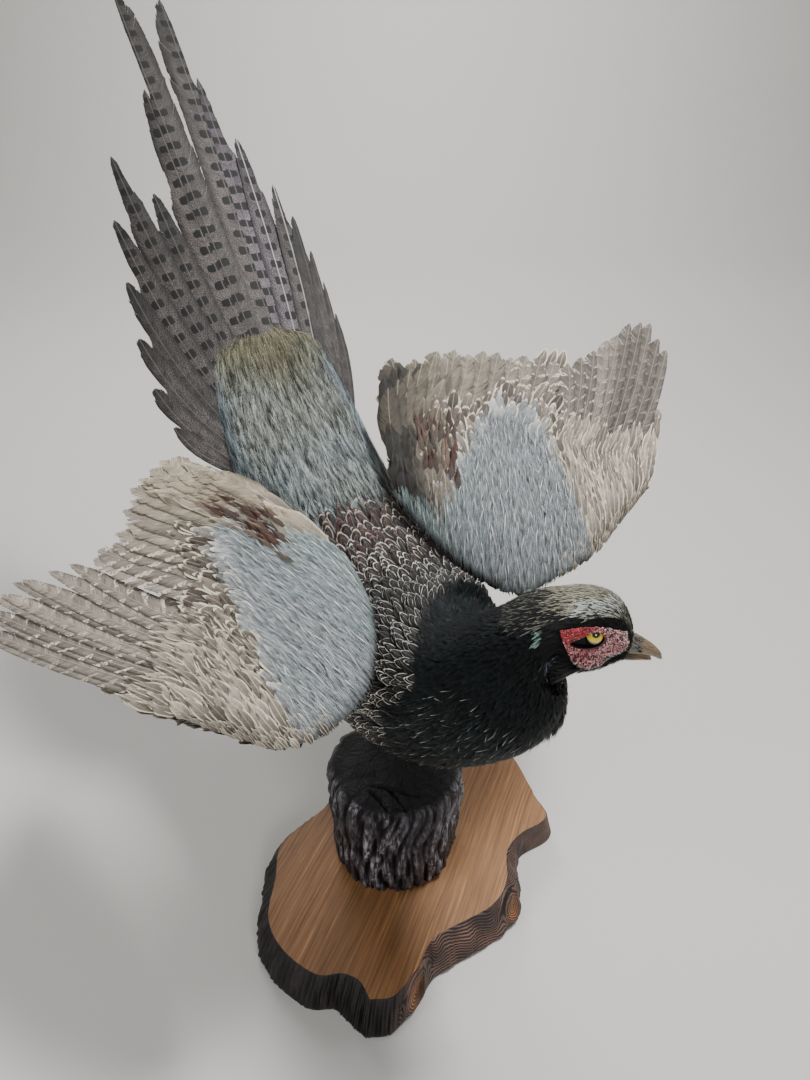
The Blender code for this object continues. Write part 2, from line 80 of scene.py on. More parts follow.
# Nape to bill, in the head's frame: forward, up | half width | above, below
HEAD_STATIONS = (
    (9, 0, 19.0, 17.0, 29.0), (18, 0, 17.8, 22.0, 27.5), (27, 0, 16.4, 24.0, 24.5),
    (36, 0, 14.6, 22.3, 21.0), (43, -1, 12.0, 18.2, 16.5), (48.5, -3, 9.2, 13.0, 11.5),
    (52, -5, 7.0, 7.0, 7.5),
)
HEAD_ORIGIN = np.array((-2, -135, 337.0))
HEAD_YAW, HEAD_PITCH = 57, -11.5
EYE = (29, 4.8, 12.4)  # forward, up, to the side
EYE_RADIUS = 5.2
WATTLE_OUTLINE = (
    (7.3, 8.2), (16.5, 11.4), (26, 12.8), (36, 12.6), (43, 11), (46.5, 5), (46, 0), (41, -3), (38, -6),
    (36, -11), (31, -14.5), (25, -13.5), (20, -9), (14.5, -2),
)
BILL_UPPER = (
    (50.5, -3.2, 6.8, 6.2, 4.8), (52.4, -3.4, 6.4, 5.8, 4.6), (57, -3.6, 5.2, 5.0, 4.2),
    (62.3, -4.3, 4.0, 4.1, 3.2), (67, -5.6, 2.7, 3.0, 2.6), (70.7, -7.2, 1.3, 1.8, 2.0),
    (72.3, -8.7, 0.5, 0.9, 0.9),
)
BILL_LOWER = (
    (50.5, -9.6, 6.0, 0.8, 2.6), (52.4, -9.7, 5.8, 0.8, 2.6), (57, -9.6, 4.7, 0.8, 2.4),
    (62, -9.4, 3.4, 0.8, 1.8), (66.5, -9.8, 1.9, 0.7, 1.1),
)
RIGHT_WING = dict(
    wrist=(-113, -87, 262), tip=(-236, 113, 276), inner=(-98, 148, 332),
    front=((62, -15), (30, -13), (2, -6), (-15, 16), (-21, 40), (-13, 66), (4, 92), (30, 114)),
    cover=((92, -18), (88, 8), (88, 30), (93, 52), (100, 76), (110, 100), (118, 121), (127, 141)),
    tips=((222, -22), (239, 0), (234, 22), (209, 46), (197, 68), (205, 94), (214, 122), (207, 153)),
    grey=((0, -1), (0.3, -0.2), (0.38, 0.25), (0.47, 0.64), (0.56, 0.89), (0.74, 1.04), (0.86, 0.95),
          (0.92, 0.5), (1, 0.12)),
)
LEFT_WING = dict(
    wrist=(121, -48, 291), tip=(283, 85, 397), inner=(79, 158, 370),
    front=((60, -31), (28, -19), (0, -8), (-26, 12), (-48, 34), (-44, 64), (-26, 100), (-2, 134)),
    cover=((104, -31), (88, 0), (90, 26), (93, 52), (92, 80), (87, 110), (80, 140), (68, 168)),
    tips=((216, -30), (247, -4), (214, 20), (179, 46), (176, 80), (169, 114), (156, 150), (126, 200)),
    grey=((0, -1), (0.28, -0.2), (0.34, 0.2), (0.37, 0.66), (0.43, 0.95), (0.5, 1.05), (0.62, 1.06),
          (0.67, 0.8), (0.77, 0.43), (0.85, 0.1), (1, 0)),
)
PRIMARIES, SECONDARIES, TERTIALS = 10, 11, 5
PRIMARY_SHARE = 0.46
# the right primaries lie in groups
RIGHT_TIPS = (0.005, 0.03, 0.085, 0.105, 0.165, 0.19, 0.26, 0.285, 0.36, 0.42)
ARM_UPPER, ARM_LOWER = 12, 10
QUILL_THICKNESS, TIP_DROOP = 3.2, 7
TAIL_TIPS = (
    (34, -86), (68, -90), (110, -89), (158, -84), (212, -78), (268, -64), (229, -42), (326, -20),
    (424, -17), (416, 20), (334, 27), (273, 41), (226, 58), (194, 65), (160, 69), (130, 69.5),
    (100, 69.5),
)
TAIL_ROOT_WIDTH, TAIL_CUP = 38, 5
FEET = {"right": (12, 24, 10), "left": (37, 6, 4)}
TOE_LENGTHS = (26, 38, 30, 13)
TOE_ANGLES = (26, 0, -26, 180)
TOE_RADIUS, SHANK_RADIUS = 3.6, 3.9
LOG_TOP = 123.3
# The coat's grids: rows along the body, points round it, steps across a wing and along each half of it
BODY_ROWS, AROUND = 401, 144
STATIONS = len(BODY_STATIONS) + len(HEAD_STATIONS) - 1
WING_STEPS = 80

# ---------------------------------------------------------------------------------------------
# Small tools


def linear(text):
    """A linear colour from an sRGB hex value."""
    parts = [int(text[k : k + 2], 16) / 255 for k in (0, 2, 4)]
    return np.array([c / 12.92 if c <= 0.04045 else ((c + 0.055) / 1.055) ** 2.4 for c in parts])


def blend(x, table):
    """Values read off a table of (x, value) pairs, straight between them."""
    t = np.array(table, float)
    return np.interp(x, t[:, 0], t[:, 1])


def step(low, high, x):
    """0 below low and 1 above high, with a soft rise between them."""
    t = np.clip((x - low) / (high - low), 0, 1)
    return t * t * (3 - 2 * t)


def unit(v):
    return v / np.maximum(np.linalg.norm(v, axis=-1, keepdims=True), 1e-12)


def curve(points, t):
    """Points at shares t of the smooth curve through points."""
    table = np.array(points, float)
    n = len(table)
    tangent = np.gradient(table, axis=0)
    x = np.clip(np.atleast_1d(t), 0, 1) * (n - 1)
    i = np.minimum(x.astype(int), n - 2)
    f = (x - i)[:, None]
    return (
        (2 * f**3 - 3 * f**2 + 1) * table[i]
        + (f**3 - 2 * f**2 + f) * tangent[i]
        + (3 * f**2 - 2 * f**3) * table[i + 1]
        + (f**3 - f**2) * tangent[i + 1]
    )


def heading(yaw, pitch, roll):
    """Forward, side and up for angles in degrees; side is the bird's left."""
    yaw, pitch, roll = (math.radians(v) for v in (yaw, pitch, roll))
    forward = np.array((math.sin(yaw) * math.cos(pitch), -math.cos(yaw) * math.cos(pitch), math.sin(pitch)))
    side = np.array((math.cos(yaw), math.sin(yaw), 0))
    up = unit(np.cross(side, forward))
    up = -up if up[2] < 0 else up
    return forward, side * math.cos(roll) + up * math.sin(roll), up * math.cos(roll) - side * math.sin(roll)


HEAD_FORWARD, HEAD_SIDE, HEAD_UP = heading(HEAD_YAW, HEAD_PITCH, 0)


def head_place(forward, up, side=0.0):
    """Points of the head's frame, in metres, from mm."""
    forward, up, side = (np.asarray(v, float)[..., None] for v in (forward, up, side))
    return (HEAD_ORIGIN + HEAD_FORWARD * forward + HEAD_UP * up + HEAD_SIDE * side) * MM


def tail_place(along, across, height):
    """Points over the tail's fan, in metres, from mm."""
    pitch, roll = math.radians(TAIL_PITCH), math.radians(TRUNK_ROLL)
    way = np.array((0, math.cos(pitch), math.sin(pitch)))
    lateral = np.array((math.cos(roll), 0, math.sin(roll)))
    lateral = unit(lateral - way * lateral.dot(way))
    up = np.cross(lateral, way)
    along, across, height = (np.asarray(v, float)[..., None] for v in (along, across, height))
    return (TAIL_BASE + way * along + lateral * across + up * (height - TAIL_CUP * (across / 80) ** 2)) * MM


def run_along(points):
    """The length run at each point of a line."""
    return np.concatenate([[0], np.cumsum(np.linalg.norm(np.diff(points, axis=0), axis=1))])


def oval(centre, side, up, width, above, below, angles, squareness=2.2):
    """A ring with its own heights above and below its centre; 2 makes an ellipse, more a squarer one."""
    c, s = np.cos(angles), np.sin(angles)
    x = np.sign(c) * np.abs(c) ** (2 / squareness) * width
    z = np.sign(s) * np.abs(s) ** (2 / squareness) * np.where(s > 0, above, below)
    return centre + side * x[:, None] + up * z[:, None]


class Surface:
    """A grid of points over part of the bird. Its second direction is the lie of the feathers."""

    def __init__(self, points, outward, closed, chart):
        self.p, self.closed, self.chart = points, closed, chart
        if closed:
            across = (np.roll(points, -1, 0) - np.roll(points, 1, 0)) / 2
        else:
            across = np.gradient(points, axis=0)
        n = unit(np.cross(across, np.gradient(points, axis=1)))
        self.n = n * np.sign((n * outward).sum(-1, keepdims=True))
        self.cell = np.linalg.norm(across, axis=-1)
        run = np.linalg.norm(np.diff(points, axis=1), axis=-1)
        self.arc = np.concatenate([np.zeros((len(points), 1)), np.cumsum(run, axis=1)], axis=1)

    def read(self, field, i, j):
        rows, columns = field.shape[:2]
        j = np.clip(j, 0, columns - 1.001)
        j0 = j.astype(int)
        if self.closed:
            i = np.mod(i, rows)
            i0 = i.astype(int) % rows
            i1 = (i0 + 1) % rows
        else:
            i = np.clip(i, 0, rows - 1.001)
            i0 = i.astype(int)
            i1 = i0 + 1
        a, b = i - np.floor(i), j - j0
        if field.ndim == 3:
            a, b = a[..., None], b[..., None]
        low = field[i0, j0] * (1 - b) + field[i0, j0 + 1] * b
        high = field[i1, j0] * (1 - b) + field[i1, j0 + 1] * b
        return low * (1 - a) + high * a

    def column(self, i, arc):
        """Where along the lie an arc length falls, for each row of paths."""
        rows = len(self.p)
        near = np.rint(i).astype(int)
        near = near % rows if self.closed else np.clip(near, 0, rows - 1)
        out = np.empty_like(arc)
        for r in np.unique(near):
            hit = near == r
            out[hit] = np.interp(arc[hit], self.arc[r], np.arange(self.arc.shape[1]))
        return out

    def scatter(self, rng, spacing, inside):
        """Sites at least spacing apart where inside(i, j) is true: cells are drawn by their area."""
        area = self.cell[:, :-1] * np.diff(self.arc, axis=1)
        if not self.closed:
            area = area[:-1]
        ii, jj = np.meshgrid(np.arange(area.shape[0]) + 0.5, np.arange(area.shape[1]) + 0.5, indexing="ij")
        keep = inside(ii, jj)
        weight = (area * keep).ravel()
        if weight.sum() <= 0:
            return np.empty((0, 2))
        count = int(weight.sum() / spacing**2 * 5) + 8
        pick = rng.choice(len(weight), count, p=weight / weight.sum())
        i = ii.ravel()[pick] + rng.uniform(-0.5, 0.5, count)
        j = jj.ravel()[pick] + rng.uniform(-0.5, 0.5, count)
        points = self.read(self.p, i, j)
        cells = np.floor(points / spacing).astype(int)
        grid, chosen = {}, []
        limit = spacing * spacing
        for k, (x, y, z) in enumerate(cells):
            px, py, pz = points[k]
            around = product((x - 1, x, x + 1), (y - 1, y, y + 1), (z - 1, z, z + 1))
            near = (site for cell in around for site in grid.get(cell, ()))
            if all((qx - px) ** 2 + (qy - py) ** 2 + (qz - pz) ** 2 >= limit for qx, qy, qz in near):
                grid.setdefault((x, y, z), []).append((px, py, pz))
                chosen.append(k)
        return np.column_stack([i[chosen], j[chosen]])

    def rows(self, rng, apart, step, inside):
        """Sites in staggered rows, apart (m) across the lie and step (m) along it."""
        unit_cell = self.cell.mean()
        sites = []
        for k, lane in enumerate(np.arange(0, len(self.p) - 1, apart / unit_cell)):
            arc = self.arc[round(float(lane))]
            at = (np.arange(int(arc[-1] / step) + 1) + 0.5 * (k % 2) + rng.normal(0, 0.09)) * step
            j = np.interp(at, arc, np.arange(len(arc)))
            sites.append(np.column_stack([np.full(len(j), lane), j]))
        sites = np.concatenate(sites)
        sites = sites + rng.normal(0, 0.09, sites.shape) * (apart / unit_cell, 4.0)
        return sites[inside(sites[:, 0], sites[:, 1])]

    def deal(self, sites, shapes):
        """Deals sites out to shapes: each shape comes with its sites, their number and their points."""
        for k, shape in enumerate(shapes):
            some = sites[k :: len(shapes)]
            yield shape, some, len(some), self.read(self.p, some[:, 0], some[:, 1])


def body_surface():
    """The trunk, neck and head, with the lie running from the bill to the tail."""
    head = []
    for forward, up, width, above, below in HEAD_STATIONS:
        head.append((*(head_place(forward, up) / MM), HEAD_YAW, HEAD_PITCH, width, above, below))
    rows = curve(BODY_STATIONS + tuple(head), np.linspace(1, 0, BODY_ROWS))
    angles = np.linspace(0, 2 * math.pi, AROUND, endpoint=False)
    rings, outs = [], []
    for k, (x, y, z, yaw, pitch, width, above, below) in enumerate(rows):
        station = STATIONS * (1 - k / (BODY_ROWS - 1))
        fade = min(1.0, max(0.0, (station - 8) / 6))
        _, side, up = heading(yaw, pitch, TRUNK_ROLL * (1 - fade))
        centre = np.array((x, y, z))
        ring = oval(centre, side, up, width, above, below, angles)
        rings.append(ring)
        outs.append(ring - centre)
    return Surface(np.stack(rings, 1) * MM, np.stack(outs, 1), True, (0.01, 0.01, 0.47, 0.98))


def station_of(i, j):
    """The station (0 tail to 20 bill) and the angle (90 back, 180 right side) of places on the grid."""
    station = STATIONS - np.asarray(j) / (BODY_ROWS - 1) * STATIONS
    return station, np.mod(np.asarray(i) / AROUND * 360, 360)


class Wing:
    """A wing's own plane: along runs from the wrist to the tip, across from there to the body."""

    def __init__(self, spec):
        wrist, tip, inner = (np.array(spec[k], float) for k in ("wrist", "tip", "inner"))
        self.spec, self.wrist = spec, wrist
        self.along = unit(tip - wrist)
        normal = unit(np.cross(self.along, inner - wrist))
        self.up = normal if normal[2] > 0 else -normal
        self.across = np.cross(self.up, self.along)
        if self.across.dot(inner - wrist) < 0:
            self.across = -self.across

    def place(self, flat, height):
        flat, height = np.asarray(flat, float), np.asarray(height, float)
        across = self.across * flat[..., 1:2]
        return (self.wrist + self.along * flat[..., :1] + across + self.up * height[..., None]) * MM

    def flat(self, u, w):
        """The place of u across the wing from its leading edge, and of w from 0 at the front through 1 at
        the arm's back to 2 at the tips."""
        front, cover, tips = (curve(self.spec[k], u) for k in ("front", "cover", "tips"))
        w = np.atleast_1d(w)[:, None]
        return np.where(w <= 1, front + (cover - front) * w, cover + (tips - cover) * (w - 1))

    def height(self, u, w, over):
        """How far the surface stands off the wing's plane: over is 1 on top and -1 below."""
        v = np.clip(w, 0, 1)
        fade = np.minimum(1.0, 0.45 + 2.4 * np.minimum(u, 1 - u))
        bulge = np.sin(math.pi * v**0.62) * (1 - 0.25 * v) * (ARM_UPPER if over > 0 else ARM_LOWER) * fade
        past = np.clip(w - 1, 0, 1)
        rest = 0.5 * QUILL_THICKNESS * np.minimum(1, 4 * v) * (1 - 0.7 * past)
        return over * (bulge + rest) - TIP_DROOP * past**2

    def surface(self, over, chart):
        us, ws = np.linspace(0, 1, WING_STEPS + 1), np.linspace(0, 2, 2 * WING_STEPS + 1)
        rows = [self.place(self.flat(np.full(len(ws), u), ws), self.height(u, ws, over)) for u in us]
        return Surface(np.stack(rows), np.broadcast_to(self.up * over, (len(us), len(ws), 3)), False, chart)


# ---------------------------------------------------------------------------------------------
# Feather shapes: a template is made once and copied over a surface


class Shape:
    """A template's points (across -1..1, along 0..1, height), its faces and how its vane is laid out."""

    def __init__(self, bm):
        bm.verts.index_update()
        self.co = np.array([v.co for v in bm.verts])
        self.faces = np.array([[v.index for v in f.verts] for f in bm.faces])
        self.across = self.co[:, 0].copy()
        bm.free()


def vane(columns, rows, profile, camber, round_end=0.25, fray=0.0, seed=0):
    """A contour feather: a grid narrowed to its outline, rounded at the end and arched across."""
    bm = bmesh.new()
    bmesh.ops.create_grid(bm, x_segments=columns, y_segments=rows, size=1.0)
    rng = np.random.default_rng(seed)
    for v in bm.verts:
        x, y = v.co.x, (v.co.y + 1) / 2
        width = blend(y, profile)
        end = y - round_end * y**3 * abs(x) ** 2
        if y > 0.6 and fray:
            end += rng.uniform(-fray, fray) * (y - 0.6) * 2.5
        v.co = (x * width, min(end, 1.0), -camber * x * x)
    shape = Shape(bm)
    full = np.array([blend((y), profile) for y in shape.co[:, 1]])
    shape.across = np.clip(shape.co[:, 0] / np.maximum(full, 0.05), -1, 1)
    return shape


def mesh_from(bm, name):
    mesh = bpy.data.meshes.new(name)
    bm.to_mesh(mesh)
    bm.free()
    return mesh


def merge(whole, bm):
    """Moves a bmesh into another one."""
    mesh = mesh_from(bm, "part")
    whole.from_mesh(mesh)
    bpy.data.meshes.remove(mesh)


def strands(count, segments, spread, thin, seed=0):
    """A tuft of loose barbs: narrow strips that leave one root and end at different lengths."""
    whole = bmesh.new()
    rng = np.random.default_rng(seed)
    for k in range(count):
        bm = bmesh.new()
        bmesh.ops.create_grid(bm, x_segments=1, y_segments=segments, size=1.0)
        lean = (k / max(count - 1, 1) * 2 - 1) * spread + rng.uniform(-0.12, 0.12)
        reach = rng.uniform(0.72, 1.0) * (1 - 0.18 * abs(lean))
        start = rng.uniform(0, 0.18)
        bend = rng.uniform(-0.16, 0.16)
        lift = rng.uniform(-0.05, 0.08)
        for v in bm.verts:
            y = (v.co.y + 1) / 2
            width = thin * (1 - 0.82 * y) * (0.6 + 0.4 * min(1, y * 4))
            x = lean * y**0.8 + bend * y * y + v.co.x * width
            v.co = (x, start + (reach - start) * y, lift * y + 0.02 * rng.uniform(-1, 1))
        merge(whole, bm)
    return Shape(whole)


CONTOUR = ((0, 0.12), (0.12, 0.5), (0.4, 0.95), (0.7, 1.0), (0.88, 0.8), (1, 0.45))
POINTED = ((0, 0.15), (0.15, 0.7), (0.45, 1.0), (0.75, 0.75), (0.92, 0.35), (1, 0.06))
SCALE = ((0, 0.3), (0.2, 0.75), (0.5, 1.0), (0.72, 0.9), (0.88, 0.55), (1, 0.12))
BROAD = ((0, 0.25), (0.15, 0.8), (0.5, 1.0), (0.8, 1.0), (0.93, 0.8), (1, 0.5))


class Coat:
    """Feathers gathered into one mesh, with their colours and maps."""

    def __init__(self, name):
        self.name = name
        self.verts, self.faces, self.count = [], [], 0
        self.vane, self.barb, self.bake, self.slot = [], [], [], []
        self.ground, self.mark, self.habit = [], [], []

    def add(self, co, faces, across, along, barb, bake, ground, mark, habit, slot=0):
        """co is (feathers, points, 3); across, along (feathers, points); the rest one row a feather."""
        n, points = co.shape[:2]
        offset = self.count + np.arange(n)[:, None, None] * points
        self.faces.append((faces[None] + offset).reshape(-1, 4))
        self.verts.append(co.reshape(-1, 3))
        self.vane.append(np.stack([across * 0.5 + 0.5, along], -1).reshape(-1, 2))
        self.barb.append(barb.reshape(-1, 2))
        self.bake.append(bake.reshape(-1, 2))
        for store, value in ((self.ground, ground), (self.mark, mark), (self.habit, habit)):
            full = np.broadcast_to(np.asarray(value, float)[:, None, :], (n, points, np.shape(value)[-1]))
            if full.shape[-1] == 3:
                full = np.concatenate([full, np.ones((n, points, 1))], -1)
            store.append(full.reshape(-1, 4))
        self.slot.append(np.full(n * len(faces), slot))
        self.count += n * points

    def lay(self, surface, shape, sites, length, width, ground, mark, habit, rng, depth=2.0, height=0.6,
            turn=0.0, tumble=6.0, over=1.0, slot=0, limit=None):
        """Lays one feather at each site along the surface's lie. Lengths are in mm."""
        n = len(sites)
        if not n:
            return
        length, width = (np.broadcast_to(np.asarray(v, float), (n,)) * MM for v in (length, width))
        depth, height, turn = (np.broadcast_to(np.asarray(v, float), (n,)) for v in (depth, height, turn))
        i0, j0 = sites[:, 0], sites[:, 1]
        angle = np.radians(turn + rng.normal(0, tumble, n))
        arc0 = surface.read(surface.arc, i0, j0)
        if limit is not None:
            end = surface.read(surface.arc, i0, np.full(n, surface.arc.shape[1] - 1.0))
            length = np.minimum(length, np.maximum(end + limit * MM - arc0, 4 * MM))
        steps = 8
        y = np.linspace(0, 1, steps)
        cell = np.maximum(surface.read(surface.cell, i0, j0), 1e-5)
        i = i0[:, None] + (length * np.sin(angle) / cell)[:, None] * y
        arc = arc0[:, None] + (length * np.cos(angle))[:, None] * y
        j = surface.column(i, arc)
        p, nrm = surface.read(surface.p, i, j), unit(surface.read(surface.n, i, j))
        ends = surface.read(surface.arc, i, np.full(i.shape, surface.arc.shape[1] - 1.0))
        last = surface.read(surface.p, i, np.full(i.shape, surface.arc.shape[1] - 1.0))
        before = surface.read(surface.p, i, np.full(i.shape, surface.arc.shape[1] - 5.0))
        p = p + unit(last - before) * np.maximum(arc - ends, 0)[..., None]
        way = unit(np.gradient(p, axis=1))
        side = unit(np.cross(nrm, way))
        rise = (-depth[:, None] + (depth + height)[:, None] * np.minimum(1, y * 1.15) ** 0.9) * MM
        p = p + nrm * rise[..., None]
        roll = np.radians(rng.normal(0, 7, n))[:, None, None]
        side = unit(side * np.cos(roll) + nrm * np.sin(roll))
        at = np.clip(shape.co[:, 1], 0, 1) * (steps - 1)
        k = np.minimum(at.astype(int), steps - 2)
        f = (at - k)[None, :, None]
        centre = p[:, k] * (1 - f) + p[:, k + 1] * f
        out = nrm[:, k] * (1 - f) + nrm[:, k + 1] * f
        left = side[:, k] * (1 - f) + side[:, k + 1] * f
        half = (width / 2)[:, None, None]
        co = centre + left * half * shape.co[None, :, :1] + out * half * over * shape.co[None, :, 2:3]
        along = np.broadcast_to(shape.co[:, 1], (n, len(shape.co)))
        across = np.broadcast_to(shape.across, (n, len(shape.co)))
        seed = rng.uniform(0, 60, (n, 1))
        barb = np.stack([shape.co[None, :, 0] * half[..., 0] / MM + 0 * seed,
                         along * length[:, None] / MM + seed], -1)
        a, b, c, d = surface.chart
        root = np.stack([a + (c - a) * np.mod(i0, len(surface.p)) / len(surface.p),
                         b + (d - b) * j0 / surface.p.shape[1]], -1)
        patch = np.stack([shape.across * 0.5, shape.co[:, 1] - 0.5], -1) * 0.003
        self.add(co, shape.faces, across, along, barb, root[:, None] + patch[None], ground, mark, habit,
                 slot)

    def make(self, materials, replaces=(), slot="plumage_dark"):
        mesh = bpy.data.meshes.new(self.name)
        verts, faces = np.concatenate(self.verts), np.concatenate(self.faces)
        mesh.vertices.add(len(verts))
        mesh.vertices.foreach_set("co", verts.astype(np.float32).ravel())
        mesh.loops.add(faces.size)
        mesh.loops.foreach_set("vertex_index", faces.ravel().astype(np.int32))
        mesh.polygons.add(len(faces))
        mesh.polygons.foreach_set("loop_start", np.arange(0, faces.size, 4, dtype=np.int32))
        mesh.polygons.foreach_set("loop_total", np.full(len(faces), 4, np.int32))
        mesh.polygons.foreach_set("use_smooth", np.ones(len(faces), bool))
        mesh.polygons.foreach_set("material_index", np.concatenate(self.slot).astype(np.int32))
        loop = faces.ravel()
        for label, store in (("Vane", self.vane), ("Barb", self.barb), ("OFBake", self.bake)):
            layer = mesh.uv_layers.new(name=label)
            layer.data.foreach_set("uv", np.concatenate(store)[loop].astype(np.float32).ravel())
        for label, store in (("Ground", self.ground), ("Mark", self.mark), ("Habit", self.habit)):
            keep_colours(mesh, label, np.concatenate(store))
        mesh.uv_layers.active = mesh.uv_layers["OFBake"]
        mesh.uv_layers["Vane"].active_render = True
        for material in materials:
            mesh.materials.append(material)
        mesh.validate()
        mesh.update()
        return finish_piece(mesh, self.name, replaces)


def keep_colours(mesh, name, colours):
    """Keeps a colour with each of the mesh's points."""
    if colours.shape[1] == 3:
        colours = np.concatenate([colours, np.ones((len(colours), 1))], 1)
    layer = mesh.attributes.new(name, "FLOAT_COLOR", "POINT")
    layer.data.foreach_set("color", colours.astype(np.float32).ravel())


def finish_piece(mesh, name, replaces=()):
    obj = bpy.data.objects.new(name, mesh)
    bpy.context.scene.collection.objects.link(obj)
    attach(obj, ROOT)
    if replaces:
        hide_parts(*replaces)
    return obj


def piece_from(bm, name, material, replaces=(), smooth=True):
    mesh = mesh_from(bm, name)
    for m in material if isinstance(material, (list, tuple)) else [material]:
        mesh.materials.append(m)
    if smooth:
        mesh.shade_smooth()
    return finish_piece(mesh, name, replaces)


# ---------------------------------------------------------------------------------------------
# Materials


def new_material(name):
    """A material and the tool that adds nodes to it."""
    material = bpy.data.materials.new(name)
    material.use_nodes = True
    material.node_tree.nodes.clear()
    return material, partial(add_node, material.node_tree)


def add_node(tree, kind, *values, into=None, ramp=None, **fields):
    """Adds a node. Its kind may end in its operation, as in "Math MULTIPLY". Values go to its first
    inputs in order and into's to the inputs that it names: a node or socket is linked, anything else
    is set. The other words are the node's own settings."""
    kind, _, operation = kind.partition(" ")
    if operation:
        fields["blend_type" if kind == "MixRGB" else "operation"] = operation
    node = tree.nodes.new("ShaderNode" + kind)
    for key, value in fields.items():
        setattr(node, key, value)
    for k, (place, colour) in enumerate(ramp or ()):
        element = node.color_ramp.elements[k] if k < 2 else node.color_ramp.elements.new(place)
        element.position, element.color = place, (*colour, 1)
    for key, value in (*enumerate(values), *(into or {}).items()):
        value = value.outputs[0] if isinstance(value, bpy.types.Node) else value
        if isinstance(value, bpy.types.NodeSocket):
            tree.links.new(value, node.inputs[key])
        elif value is not None:
            node.inputs[key].default_value = value
    return node


def rgba(colour):
    return (*[float(c) for c in colour], 1.0)


def vane_parts(add):
    """A vane's own measures: shares across and along it, mm across, along and out from the shaft,
    and mm counted across its slanting barbs."""
    uv = add("SeparateXYZ", add("UVMap", uv_map="Vane"))
    across = add("Math ABSOLUTE", add("Math MULTIPLY_ADD", uv, 2.0, -1.0))
    mm = add("SeparateXYZ", add("UVMap", uv_map="Barb"))
    out = add("Math ABSOLUTE", mm)
    phase = add("Math MULTIPLY_ADD", out, -1.25, mm.outputs[1])
    return across, uv.outputs[1], mm.outputs[0], mm.outputs[1], out, phase


def plumage_material(name, roughness, barb, contrast, gloss, root=0.2, rim=0.83):
    """Barbed keratin vanes, matt and finely streaked along the barbs, with painted shade where the next
    feather covers them. Pale lines, edges and shafts come from each feather's own attributes."""
    material, add = new_material(name)
    across, along, _, _, out, phase = vane_parts(add)
    place = add("CombineXYZ", add("Math MULTIPLY", phase, barb), add("Math MULTIPLY", out, 0.35))
    streak = add("TexNoise", place, None, 1.0, 2.0, 0.65)
    ground, mark = (add("Attribute", attribute_name=n) for n in ("Ground", "Mark"))
    lace, edge, shaft = add("SeparateColor", add("Attribute", attribute_name="Habit")).outputs
    shade = add("MapRange", streak, 0.3, 0.7, 1 - contrast, 1 + contrast)
    # painted shade: darker towards the root, where the next feather lies over it; root sets how dark
    cover = add("MapRange", along, 0.35, 0.9, root, 1.15)
    colour = add("MixRGB MULTIPLY", 1.0, ground, add("Math MULTIPLY", shade, cover))
    # rings that follow the feather's rounded end
    past = add("MapRange", along, 0.52, 1.0, 0.0, 1.0)
    ring = add("Math ADD", add("VectorMath LENGTH", add("CombineXYZ", across, past)).outputs[1],
               add("MapRange", streak, 0.2, 0.8, -0.07, 0.07))
    outer = add("Math COMPARE", ring, 0.7, 0.06)
    inner = add("Math MULTIPLY", add("Math COMPARE", ring, 0.3, 0.04), 0.12)
    both = add("Math MULTIPLY", add("Math MAXIMUM", outer, inner), lace)
    both = add("Math MULTIPLY", both, add("MapRange", along, 0.35, 0.55))
    colour = add("MixRGB", both, colour, mark)
    rim = add("Math MULTIPLY", add("MapRange", ring, rim, rim + 0.07), edge)
    colour = add("MixRGB", rim, colour, mark)
    rachis = add("Math MULTIPLY", add("MapRange", out, 0.3, 0.12), shaft)
    colour = add("MixRGB", rachis, colour, mark)
    bump = add("Bump", 0.6, 0.0003, into={"Height": streak})
    shader = add("BsdfPrincipled", colour,
                 into={"Roughness": roughness, "Specular IOR Level": gloss, "Normal": bump})
    add("OutputMaterial", shader)
    return material


